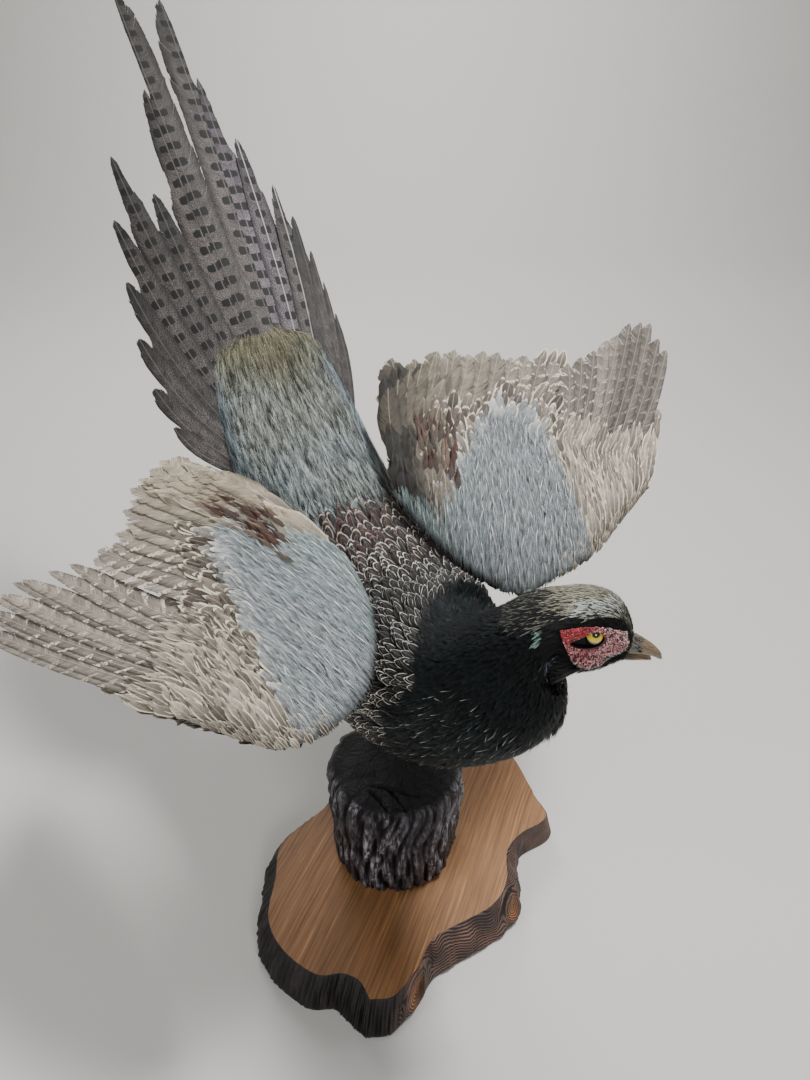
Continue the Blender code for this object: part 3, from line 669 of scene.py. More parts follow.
def quill_material(name, tail):
    """Long stiff vanes: a pale shaft, fine slanting barbs, a darker edge painted as shadow next to the
    neighbouring feather, and cream bars on the wing, or black squares beside the shaft and fine dark
    speckles on the tail."""
    material, add = new_material(name)
    across, along, x, y, out, phase = vane_parts(add)
    place = add("CombineXYZ", add("Math MULTIPLY", phase, 1.5), add("Math MULTIPLY", out, 0.2))
    streak = add("TexNoise", place, None, 1.0, 3.0, 0.6)
    place = add("CombineXYZ", add("Math MULTIPLY", phase, 0.09), add("Math MULTIPLY", x, 0.1))
    cloud = add("TexNoise", place, None, 1.0, 2.0)
    ground, mark = (add("Attribute", attribute_name=n) for n in ("Ground", "Mark"))
    bars, speckle, shaft = add("SeparateColor", add("Attribute", attribute_name="Habit")).outputs
    shade = add("Math MULTIPLY", add("MapRange", streak, 0.3, 0.7, 0.35, 1.5),
                add("MapRange", cloud, 0.3, 0.7, 0.65, 1.3))
    # painted shadow: the vane darkens towards its outer edge, where the neighbouring feather meets it
    shade = add("Math MULTIPLY", shade, add("MapRange", across, 0.55, 1.0, 1.0, 0.1 if tail else 0.25))
    # thin painted shadows in the slits where the barbs part
    place = add("CombineXYZ", add("Math MULTIPLY", phase, 0.3), add("Math MULTIPLY", out, 0.02))
    parted = add("TexNoise", place, None, 1.0, 1.0)
    slit = add("Math MULTIPLY", add("Math COMPARE", parted, 0.5, 0.006), add("MapRange", across, 0.2, 0.9))
    shade = add("Math MULTIPLY", shade, add("MapRange", slit, 0.0, 1.0, 1.0, 0.15))
    if tail:
        shade = add("Math MULTIPLY", shade, add("MapRange", along, 0.6, 1.0, 1.0, 0.28))
    colour = add("MixRGB MULTIPLY", 1.0, ground, shade)
    place = add("CombineXYZ", x, y)
    if tail:
        fine = add("TexNoise", place, None, 1.3, 3.0, 0.75)
        colour = add("MixRGB MULTIPLY", 1.0, colour, add("MapRange", fine, 0.32, 0.5, 1.75, 0.9))
        spots = add("Math MULTIPLY", add("MapRange", fine, 0.47, 0.55), speckle)
        colour = add("MixRGB", spots, colour, mark)
        wander = add("Math MULTIPLY_ADD", cloud, 5.0, y)
        wave = add("Math PINGPONG", wander, 8.0)
        # a square with round corners: 8 mm from bar to bar, as wide as the feather's share says
        high = add("Math DIVIDE", wave, 3.6)
        wide = add("Math DIVIDE", out, add("MapRange", bars, 0.3, 1.0, 3.2, 6.5))
        square = add("Math ADD", add("Math POWER", high, 4.0), add("Math POWER", wide, 4.0))
        square = add("MapRange", add("Math MULTIPLY_ADD", fine, 1.2, square), 1.65, 1.5)
        bar = add("Math MULTIPLY", square, add("MapRange", out, 0.25, 0.7))
        bar = add("Math MULTIPLY", bar, add("MapRange", bars, 0.2, 0.6))
    else:
        # cream wedges that widen to the vane's edge, 14 mm apart
        wander = add("Math MULTIPLY_ADD", out, -0.8, add("Math MULTIPLY_ADD", cloud, 14.0, y))
        wave = add("Math PINGPONG", wander, 7.0)
        size = add("MapRange", out, 1.0, 6.0, 0.5, 2.6)
        bar = add("MapRange", add("Math SUBTRACT", wave, size), 0.3, -0.3)
        bar = add("Math MULTIPLY", bar, add("MapRange", out, 0.9, 1.6))
        broken = add("TexNoise", place, None, 0.5, 2.0)
        bar = add("Math MULTIPLY", bar, add("MapRange", broken, 0.42, 0.5))
        bar = add("Math MULTIPLY", bar, bars)
    colour = add("MixRGB", bar, colour, mark)
    rachis = add("Math MULTIPLY", add("MapRange", out, *((0.6, 0.3) if tail else (0.45, 0.2))), shaft)
    colour = add("MixRGB", rachis, colour, rgba(linear("c9bfae" if not tail else "b9b4ae")))
    bump = add("Bump", 0.7, 0.0004, into={"Height": streak})
    shader = add("BsdfPrincipled", colour,
                 into={"Roughness": 0.6, "Specular IOR Level": 0.25, "Normal": bump})
    add("OutputMaterial", shader)
    return material


# ---------------------------------------------------------------------------------------------
# Sizes and colours that can be changed


def colour_setting(name, description, text):
    return FloatVectorProperty(name=name, description=description, subtype="COLOR", size=3, min=0, max=1,
                               default=tuple(linear(text)))


class PlumageSettings(bpy.types.PropertyGroup):
    seed: IntProperty(name="Seed", description="Start of every random choice in the coat", default=7)
    coat_depth: FloatProperty(name="Coat depth",
                              description="How far the skin lies inside the coat on the trunk",
                              default=0.0035, unit="LENGTH")
    velvet: colour_setting("Neck", "Black of the neck and breast", "0a0b0c")
    velvet_blue: colour_setting("Neck gloss", "Blue-green tint of the neck", "0e161a")
    mantle: colour_setting("Mantle", "Ground of the mantle feathers", "24211f")
    maroon: colour_setting("Lower mantle", "Maroon centres towards the rump", "4b342e")
    lacing: colour_setting("Lacing", "Pale lines on the mantle", "ece7da")
    rump: colour_setting("Rump", "Grey-green of the rump", "979c94")
    rump_side: colour_setting("Rump sides", "Slate blue of the rump's sides", "8797a0")
    olive: colour_setting("Tail coverts", "Olive of the upper tail coverts", "767256")
    belly: colour_setting("Belly", "Brown-black of the belly", "171412")
    flank: colour_setting("Flank", "Green-black of the flanks", "0e1917")
    crown: colour_setting("Crown", "Grey-olive of the crown", "a19d88")


class WingSettings(bpy.types.PropertyGroup):
    covert: colour_setting("Coverts", "Blue-grey of the lesser coverts", "b4babd")
    turquoise: colour_setting("Inner coverts", "Turquoise tint near the mantle", "a3b6b5")
    scaly: colour_setting("Greater coverts", "Dark centres of the greater coverts", "4c443c")
    cream: colour_setting("Cream", "Edges and bars", "dbd0bb")
    buff: colour_setting("Marginal coverts", "Ground along the leading edge", "b0a695")
    quill: colour_setting("Flight feathers", "Taupe of the flight feathers", "988e83")
    tertial: colour_setting("Tertials", "Cream-grey of the tertials", "a69984")
    maroon: colour_setting("Inner streaks", "Maroon-brown of the narrow inner coverts", "4a3028")


class TailSettings(bpy.types.PropertyGroup):
    ground: colour_setting("Tail", "Grey of the tail feathers", "726b67")
    lilac: colour_setting("Tail bloom", "Lilac bloom beside the central pair", "857a84")
    bar: colour_setting("Bars", "Black of the bars", "161414")
    barb_pitch: FloatProperty(name="Barb spacing", description="Width of one band of barbs", default=0.0015,
                              unit="LENGTH")


class HeadSettings(bpy.types.PropertyGroup):
    wattle: colour_setting("Wattle", "Red of the bare skin", "c84047")
    wattle_pale: colour_setting("Wattle bloom", "Pale pink of the papillae", "e6b9b8")
    iris: colour_setting("Iris", "Yellow of the iris", "d9c01a")
    bill: colour_setting("Bill", "Horn colour of the bill", "94826b")


class StandSettings(bpy.types.PropertyGroup):
    wood: colour_setting("Wood", "Honey brown of the slab's top", "8f6640")
    wood_dark: colour_setting("Grain", "Darker grain of the top", "664223")
    char: colour_setting("Scorched edge", "Charcoal of the live edge", "120c0b")
    bark: colour_setting("Bark", "Charcoal of the log's bark", "1f1d20")


class StageSettings(bpy.types.PropertyGroup):
    lens: FloatProperty(name="Lens", description="Focal length on a 36 mm frame", default=27.03)
    key: FloatProperty(name="Key light", description="Power of the main soft light in watts", default=30)
    fill: FloatProperty(name="Fill", description="Strength of the surrounding light", default=0.15)
    floor: colour_setting("Floor", "Pale floor", "cfccc7")


def settings(context, name):
    return getattr(context.scene, "pheasant_" + name)


# ---------------------------------------------------------------------------------------------
# Where each colour lies on the body

# Station of the line between the mantle and the black neck, round the body
NECK_LINE = (
    (-30, 8.0), (0, 8.2), (33, 8.5), (57, 8.9), (81, 9.45), (102, 10.1), (120, 10.4), (141, 10.55),
    (153, 10.5), (163, 9.8), (172, 9.4), (185, 9.3), (200, 9.1), (212, 8.2), (225, 7.5),
)
RUMP_LINE = 5.42


def turned(angle):
    """Angles from -90 to 270, so that the back lies in the middle."""
    return np.where(angle > 270, angle - 360, angle)


BELLY, RUMP, MANTLE, NECK, CROWN, FACE, FLANK = range(7)


def body_region(s, a):
    """The tract at a station and an angle."""
    t = turned(a)
    back = (t > -30) & (t < 208)
    region = np.full(np.shape(s), BELLY)
    region = np.where((s < RUMP_LINE) & (t > -42) & (t < 222), RUMP, region)
    region = np.where((s >= RUMP_LINE) & back & (s < blend(t, NECK_LINE)), MANTLE, region)
    black = ((s >= blend(t, NECK_LINE)) & back) | ((s >= 6.4) & ~back)
    region = np.where(black, NECK, region)
    region = np.where((s >= RUMP_LINE) & (s < 8.2) & ~back, FLANK, region)
    top = np.abs(t - 90) < blend(s, ((12.6, 8), (13.2, 48), (14.5, 52), (16, 50), (18, 40), (20, 30)))
    region = np.where((s >= 12.7) & top, CROWN, region)
    return np.where((s >= 13.6) & ~top, FACE, region)


def ripple(p, scale, phase=0.0):
    """A slow wandering value from -1 to 1 over points in metres."""
    q = np.asarray(p) * scale
    return (np.sin(q[..., 0] * 1.7 + q[..., 1] * 1.1 + phase)
            + np.sin(q[..., 1] * 2.3 - q[..., 2] * 1.3 + phase * 2)
            + np.sin(q[..., 2] * 1.9 + q[..., 0] * 1.4 - phase)) / 3


def lerp(a, b, t):
    """A mix of two colours by each of the shares t."""
    t = np.asarray(t, float)[..., None]
    return np.asarray(a) * (1 - t) + np.asarray(b) * t


@cache
def surface(name):
    """The body's or a wing's surface, made once."""
    if name == "body":
        return body_surface()
    side, face = name.split("_")
    spec = RIGHT_WING if side == "right" else LEFT_WING
    left = 0.5 if side == "right" else 0.75
    low = 0.02 if face == "upper" else 0.52
    return Wing(spec).surface(1 if face == "upper" else -1, (left, low, left + 0.23, low + 0.46))


def body_colour(p, s, a, look):
    """The coat's ground colour at a place of the body, for the skin and the feathers alike."""
    t = turned(a)
    region = body_region(s, a)
    colour = np.broadcast_to(np.array(look.belly), (*np.shape(s), 3)).copy()
    slow = ripple(p, 60) * 0.5 + 0.5
    sideways = step(0.4, 0.9, np.abs(t - 92) / 95)
    slate = np.clip(sideways + 0.5 * slow - 0.3 + 0.4 * step(3.4, 4.6, s), 0, 1)
    rump = lerp(look.rump, look.rump_side, slate)
    rump = lerp(rump, look.olive, step(3.7, 2.0, s + 0.8 * np.abs(t - 85) / 60 - 0.3 + 0.5 * slow))
    mantle = lerp(look.mantle, look.maroon, step(7.6, 5.9, s) * (0.35 + 0.65 * slow))
    neck = lerp(look.velvet, look.velvet_blue, slow)
    crown = lerp(look.crown, np.array((0.12, 0.12, 0.11)), step(14.4, 12.8, s) * 0.8 + 0.2 * slow)
    face = np.broadcast_to(np.array(look.velvet), colour.shape)
    flank = lerp(look.flank, look.belly, slow)
    tones = {RUMP: rump, MANTLE: mantle, NECK: neck, CROWN: crown, FACE: face, FLANK: flank}
    for tract, tone in tones.items():
        colour = np.where((region == tract)[..., None], tone, colour)
    return colour


# ---------------------------------------------------------------------------------------------
# The pieces

FLESH = ("trunk", "neck", "head", "thigh_left", "thigh_right", "wing_left", "wing_right")
SKIN_GROWTH, SKIN_VOXEL = 0.0005, 0.0021
# m: the skin's depth on the wings, the lowest that a wing's arm lies, and how near the body's grid lies
WING_SKIN_DEPTH, WING_FLOOR, NEAR_BODY = 0.0016, 0.235, 0.006


class PHEASANT_OT_skin(bpy.types.Operator):
    """One skin for the trunk, neck, head, thighs and wing arms, lying inside them by the coat's depth"""

    bl_idname = "pheasant.skin"
    bl_label = "Skin"

    def execute(self, context):
        look = settings(context, "plumage")
        bm = bmesh.new()
        for name in FLESH:
            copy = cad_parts[name].data.copy()
            bm.from_mesh(copy)
            bpy.data.meshes.remove(copy)
        bmesh.ops.remove_doubles(bm, verts=bm.verts, dist=1e-6)
        # each shell is grown a little, so that they melt into one
        bm.normal_update()
        for v in bm.verts:
            v.co += v.normal * SKIN_GROWTH
        mesh = mesh_from(bm, "skin")
        obj = bpy.data.objects.new("skin", mesh)
        context.scene.collection.objects.link(obj)
        remesh = obj.modifiers.new("melt", "REMESH")
        remesh.mode = "VOXEL"
        remesh.voxel_size = SKIN_VOXEL
        ease = obj.modifiers.new("ease", "SMOOTH")
        ease.iterations = 6
        whole = bpy.data.meshes.new_from_object(obj.evaluated_get(context.evaluated_depsgraph_get()))
        bpy.data.objects.remove(obj)
        bpy.data.meshes.remove(mesh)
        whole.name = "skin"
        count = len(whole.vertices)
        co, normal = np.empty(count * 3), np.empty(count * 3)
        whole.vertices.foreach_get("co", co)
        whole.vertices.foreach_get("normal", normal)
        co, normal = co.reshape(-1, 3), normal.reshape(-1, 3)
        body = surface("body").p
        where = [(i, j) for i in range(body.shape[0]) for j in range(0, body.shape[1], 2)]
        tree = KDTree(len(where))
        for k, (i, j) in enumerate(where):
            tree.insert(body[i, j], k)
        tree.balance()
        found = [tree.find(point) for point in co]
        far = np.array([distance for _, _, distance in found])
        s, a = station_of(*np.array([where[index] for _, index, _ in found]).T)
        on_body = far < NEAR_BODY
        thick = ((0, 0.0012), (2, 0.0025), (5, look.coat_depth), (12, look.coat_depth), (14, 0.0014),
                 (20, 0.0009))
        depth = np.where(on_body, blend(s, thick), WING_SKIN_DEPTH)
        co = co - normal * depth[:, None]
        whole.vertices.foreach_set("co", co.astype(np.float32).ravel())
        colour = body_colour(co, s, a, look)
        wing = np.array(settings(context, "wing").covert) * 0.45
        elsewhere = np.where((co[:, 2] > WING_FLOOR)[:, None], wing, np.array(look.belly))
        colour = np.where(on_body[:, None], colour * 0.5, elsewhere)
        keep_colours(whole, "Ground", colour)
        whole.shade_smooth()
        whole.materials.clear()
        # bare skin under down, dull and a little mottled, in the colours of the coat above it
        whole.materials.append(painted_material("downy_skin", 1.1, 0.5, 1.1, 0.85))
        finish_piece(whole, "skin", FLESH)
        return {"FINISHED"}


def natural(name, colours, size, roughness, bump=0.3, deep=0.3, detail=4.0, stretch=(1, 1, 1)):
    """A natural surface that wanders between several tones over size (mm), with relief of deep (mm)."""
    material, add = new_material(name)
    place = add("Mapping", add("TexCoord").outputs["Object"], into={"Scale": stretch})
    noise = add("TexNoise", place, None, 1 / (size * MM), detail, 0.65)
    stops = [(0.3 + 0.4 * k / (len(colours) - 1), linear(c)) for k, c in enumerate(colours)]
    bump = add("Bump", bump, deep * MM, into={"Height": noise})
    shader = add("BsdfPrincipled", add("ValToRGB", noise, ramp=stops),
                 into={"Roughness": roughness, "Normal": bump})
    add("OutputMaterial", shader)
    return material


def painted_material(name, size, low, high, roughness):
    """Ground colours kept with the mesh, broken up by a grain of size (mm)."""
    material, add = new_material(name)
    noise = add("TexNoise", add("TexCoord").outputs["Object"], None, 1 / (size * MM), 3.0)
    shade = add("MapRange", noise, 0.3, 0.7, low, high)
    colour = add("MixRGB MULTIPLY", 1.0, add("Attribute", attribute_name="Ground"), shade)
    bump = add("Bump", 0.5, size * 0.4 * MM, into={"Height": noise})
    shader = add("BsdfPrincipled", colour, into={"Roughness": roughness, "Normal": bump})
    add("OutputMaterial", shader)
    return material


@cache
def coat_material(kind):
    """The coat's materials, made once each."""
    make = {
        # velvety barbules that swallow light, with a slight oily gloss
        "velvet": lambda: plumage_material("glossy_black_vane", 0.55, 3.0, 0.5, 0.14),
        # soft closed vanes, matt
        "contour": lambda: plumage_material("barbed_keratin_vane", 0.66, 2.2, 0.5, 0.25),
        # closed vanes that lie flat, with less painted shade at the root
        "covert": lambda: plumage_material("flat_wing_vane", 0.62, 2.6, 0.45, 0.3, 0.5, 0.74),
        # loose hair-like barbs
        "hair": lambda: plumage_material("loose_barbs", 0.62, 1.2, 0.55, 0.25),
        # long stiff vanes on a thick shaft
        "wing": lambda: quill_material("wing_quill_vane", False),
        "tail": lambda: quill_material("tail_quill_vane", True),
    }
    return make[kind]()


def zone(s_low, s_high, *tracts):
    """A test for grid places between two stations and in the tracts."""

    def inside(i, j):
        s, a = station_of(i, j)
        return (s >= s_low) & (s < s_high) & np.isin(body_region(s, a), tracts)

    return inside


def no_marks(n, shaft=0.0):
    return np.tile((0.0, 0.0, shaft), (n, 1))


class PHEASANT_OT_back(bpy.types.Operator):
    """Laced mantle feathers, and the hair-like rump and upper tail coverts"""

    bl_idname = "pheasant.back"
    bl_label = "Mantle and rump"

    def execute(self, context):
        look = settings(context, "plumage")
        rng = np.random.default_rng(look.seed)
        body = surface("body")
        coat = Coat("mantle")
        shapes = [vane(4, 5, CONTOUR, 0.2, 0.3, 0.04, k) for k in range(3)]
        narrow = [vane(4, 5, POINTED, 0.18, 0.2, 0.03, k) for k in range(3)]
        # stations from and to | spacing, length and width (mm)
        bands = ((RUMP_LINE, 6.4, 4.9, 21, 10.5), (6.4, 7.6, 4.3, 18, 9.2), (7.6, 11, 3.6, 14, 7.4))
        for low, high, spacing, length, width in bands:
            sites = body.scatter(rng, spacing * MM, zone(low, high, MANTLE))
            for shape, some, n, p in body.deal(sites, shapes if low < 7 else narrow):
                s, a = station_of(some[:, 0], some[:, 1])
                colour = body_colour(p, s, a, look) * rng.uniform(0.35, 1.2, (n, 1))
                strength = blend(s, ((5.3, 0.5), (6.4, 1), (9, 0.8)))
                lace = rng.uniform(0.6, 1.0, n) * np.where(rng.random(n) < 0.2, 0.15, 1.0) * strength
                habit = np.column_stack([lace, np.zeros(n), 0.15 * rng.random(n)])
                pale = lerp(look.lacing, (0.55, 0.55, 0.53), rng.random(n)) * rng.uniform(0.6, 1.1, (n, 1))
                # painted light: the lacing is brighter on the mantle's right side, next to the right wing's
                # shade
                pale = pale * (1 + 1.2 * step(130, 165, turned(a)))[:, None]
                # the coat stands fuller over the left shoulder
                full = 2.5 * step(68, 40, turned(a)) * step(7.2, 8.6, s)
                coat.lay(body, shape, some, length * rng.uniform(0.85, 1.15, n) + full,
                         width * rng.uniform(0.8, 1.15, n), colour, pale, habit, rng, depth=2.6,
                         height=rng.uniform(0.1, 0.9, n) + full, tumble=12)
        coat.make([coat_material("contour")])

        tufts = [strands(3, 3, 0.8, 0.2, k) for k in range(6)]
        # name | stations from and to | spacing, length, width and reach past the trunk (mm)
        bands = (("tail_coverts", -0.2, 2.3, 1.25, 34, 2.5, 30),
                 ("rump", 2.3, RUMP_LINE + 0.1, 1.35, 23, 2.4, 14))
        for name, low, high, spacing, length, width, beyond in bands:
            coat = Coat(name)
            tracts = (RUMP, MANTLE) if low > 0 else (RUMP,)
            sites = body.scatter(rng, spacing * MM, zone(low, high, *tracts))
            for tuft, some, n, p in body.deal(sites, tufts):
                s, a = station_of(some[:, 0], some[:, 1])
                colour = body_colour(p, np.minimum(s, RUMP_LINE - 0.01), a, look)
                tone = rng.random((n, 1))
                lit = np.where(tone > 0.72, colour * 1.7 + 0.06, colour)
                colour = np.where(tone < 0.33, colour * 0.15, lit) * rng.uniform(0.65, 1.35, (n, 1))
                near = (rng.random(n) < 0.35 * step(4.7, 5.4, s))[:, None]
                colour = np.where(near, np.array(look.mantle) * rng.uniform(0.5, 2.5, (n, 1)), colour)
                # over the tail the coverts fan out, the outer ones further
                fan = (turned(a) - 90) / 60
                past = beyond * rng.random(n) ** 2 if low < 0 else beyond
                coat.lay(body, tuft, some, length * rng.uniform(0.7, 1.3, n), width, colour, colour * 1.3,
                         no_marks(n), rng, depth=2.2, height=rng.uniform(-0.4, 1.1, n),
                         turn=fan * np.where(fan < 0, 46, 28) * step(3, 1, s), tumble=8, over=0.5,
                         limit=past)
            coat.make([coat_material("hair")], slot="plumage_grey")
        return {"FINISHED"}


class PHEASANT_OT_front(bpy.types.Operator):
    """The black neck, throat and breast, the flanks, belly and thighs"""

    bl_idname = "pheasant.front"
    bl_label = "Neck, breast and belly"

    def execute(self, context):
        look = settings(context, "plumage")
        rng = np.random.default_rng(look.seed + 1)
        body = surface("body")
        small = [vane(2, 4, POINTED, 0.08, 0.2, 0.02, k) for k in range(3)]
        broad = [vane(4, 5, CONTOUR, 0.25, 0.3, 0.05, k) for k in range(3)]
        loose = [strands(6, 3, 0.9, 0.16, k) for k in range(3)]

        coat = Coat("neck_and_breast")
        bands = ((6.4, 9.2, 3.0, 15, 6.5), (9.2, 11.2, 2.1, 11, 3.8), (11.2, 13.6, 1.7, 8.5, 2.5))
        for low, high, spacing, length, width in bands:
            sites = body.scatter(rng, spacing * MM, zone(low, high, NECK))
            for shape, some, n, p in body.deal(sites, small):
                s, a = station_of(some[:, 0], some[:, 1])
                t = turned(a)
                colour = body_colour(p, s, a, look) * rng.uniform(0.4, 1.7, (n, 1))
                # a few feathers carry a painted green or steel-blue sheen, most of them low on the breast
                low_breast = step(45, 100, np.abs(t - 90)) * step(12, 10.5, s)
                glint = rng.random(n) < 0.015 + 0.07 * low_breast
                tint = lerp((0.006, 0.022, 0.018), (0.014, 0.022, 0.034), rng.random(n))
                colour = np.where(glint[:, None], tint * rng.uniform(0.5, 1.5, (n, 1)), colour)
                edged = rng.random(n) < 0.4 * step(10.8, 9.6, s) * (t > 20) * (t < 200)
                edge = np.where(edged, rng.uniform(0.2, 0.7, n), 0)
                # pale shafts low on the breast, as painted glints
                habit = np.column_stack([edge, np.zeros(n), 0.25 * rng.random(n) * low_breast])
                full = 4.0 * step(75, 45, t) * step(8.4, 9.6, s) * step(12.6, 11.4, s)
                coat.lay(body, shape, some, length * rng.uniform(0.85, 1.15, n) + full,
                         width * rng.uniform(0.8, 1.15, n), colour, np.tile((0.13, 0.13, 0.125), (n, 1)),
                         habit, rng, depth=2.4, height=rng.uniform(-0.3, 0.25, n) + full, tumble=6)
        # thin pale barbs low on the breast, coloured as painted highlights
        hair = vane(1, 4, POINTED, 0.0, 0.1, 0.0)
        in_front = lambda i: np.abs(turned(i / AROUND * 360) - 90) > 70
        sites = body.scatter(rng, 4.5 * MM, lambda i, j: zone(8, 11.5, NECK)(i, j) & in_front(i))
        n = len(sites)
        colour = np.array((0.3, 0.33, 0.31)) * rng.uniform(0.1, 1.2, (n, 1)) ** 2
        coat.lay(body, hair, sites, rng.uniform(4, 10, n), 0.5, colour, colour, no_marks(n), rng, depth=0.5,
                 height=1.0, tumble=16)
        throat = throat_surface()
        sites = throat.scatter(rng, 1.3 * MM, lambda i, j: j > -1)
        n = len(sites)
        colour = np.array(look.velvet) * rng.uniform(0.5, 2, (n, 1))
        # painted sheen: a few throat feathers are coloured pale blue-grey as gloss
        frost = (rng.random(n) < 0.1)[:, None]
        colour = np.where(frost, np.array((0.16, 0.2, 0.27)) * rng.uniform(0.2, 1.3, (n, 1)), colour)
        coat.lay(throat, small[0], sites, 9, np.where(frost[:, 0], 0.9, 2.6), colour, colour * 2,
                 no_marks(n), rng, depth=1.2, height=rng.uniform(0, 0.8, n), tumble=12, limit=4)
        coat.make([coat_material("velvet")])

        coat = Coat("flanks_and_belly")
        tracts = ((FLANK, 4.8, 22, 11, broad), (BELLY, 4.0, 20, 8, loose))
        for tract, spacing, length, width, shapes in tracts:
            sites = body.scatter(rng, spacing * MM, zone(-0.1, 9, tract))
            for shape, some, n, p in body.deal(sites, shapes):
                s, a = station_of(some[:, 0], some[:, 1])
                colour = body_colour(p, s, a, look) * rng.uniform(0.5, 1.6, (n, 1))
                habit = np.column_stack([np.zeros(n), np.zeros(n), 0.3 * rng.random(n)])
                coat.lay(body, shape, some, length * rng.uniform(0.8, 1.15, n), width, colour, colour * 2.5,
                         habit, rng, depth=2.6, height=rng.uniform(-0.2, 1.0, n), tumble=9, limit=6)
        for name in ("left", "right"):
            thigh = thigh_surface(name)
            sites = thigh.scatter(rng, 3.2 * MM, lambda i, j: j > -1)
            n = len(sites)
            colour = np.array(look.belly) * rng.uniform(0.7, 1.7, (n, 1))
            coat.lay(thigh, small[0], sites, 11, 5, colour, colour * 2, no_marks(n, 0.2), rng, depth=1.6,
                     height=0.5, tumble=10, limit=3)
        coat.make([coat_material("contour")])
        return {"FINISHED"}


def leg_line(name):
    """A leg's ankle, heel, knee and hip (mm)."""
    x, y, _ = FEET[name]
    sign = -1 if name == "right" else 1
    ankle = np.array((x, y, LOG_TOP + 7.3))
    heel = ankle + (-sign * 1, 19, 42)
    hip = np.array((sign * 28, 10, 232.0))
    knee = heel * 0.45 + hip * 0.55 + (0, -8, 0)
    return ankle, heel, knee, hip


def ring_rows(points, radii, around):
    """Rings of a tapering tube through points."""
    points = np.asarray(points, float)
    ways = unit(np.gradient(points, axis=0))
    angles = np.linspace(0, 2 * math.pi, around, endpoint=False)
    rings = []
    for p, w, r in zip(points, ways, radii):
        helper = np.array((1.0, 0, 0)) if abs(w[0]) < 0.8 else np.array((0, 1.0, 0))
        a = unit(np.cross(w, helper))
        b = np.cross(w, a)
        rings.append(p + r * (np.cos(angles)[:, None] * a + np.sin(angles)[:, None] * b))
    return np.array(rings)


def thigh_surface(name):
    """A drumstick, with its lie running from the hip down to the heel."""
    _, heel, knee, hip = leg_line(name)
    t = np.linspace(1, 0, 41)
    line = curve((heel * 1.02 - knee * 0.02, heel * 0.65 + knee * 0.35, knee, hip), t)
    radii = curve(((8,), (13,), (19,), (24,)), t)[:, 0]
    rings = ring_rows(line, radii, 32)
    centre = line[:, None]
    return Surface(np.swapaxes(rings, 0, 1) * MM, np.swapaxes(rings - centre, 0, 1), True,
                   (0.48, 0.9, 0.499, 0.99))


def throat_surface():
    """The feathered throat, which bridges the hollow between the jaw and the neck."""
    line = curve(((32, -10.5), (25.5, -18), (16, -27), (6, -37), (-0.7, -47)), np.linspace(0, 1, 41))
    centre = head_place(line[:, 0], line[:, 1]) / MM
    rings = ring_rows(centre, curve(((6,), (9,), (11,), (13,), (14,)), np.linspace(0, 1, 41))[:, 0], 40)
    return Surface(np.swapaxes(rings, 0, 1) * MM, np.swapaxes(rings - centre[:, None], 0, 1), True,
                   (0.48, 0.6, 0.499, 0.85))


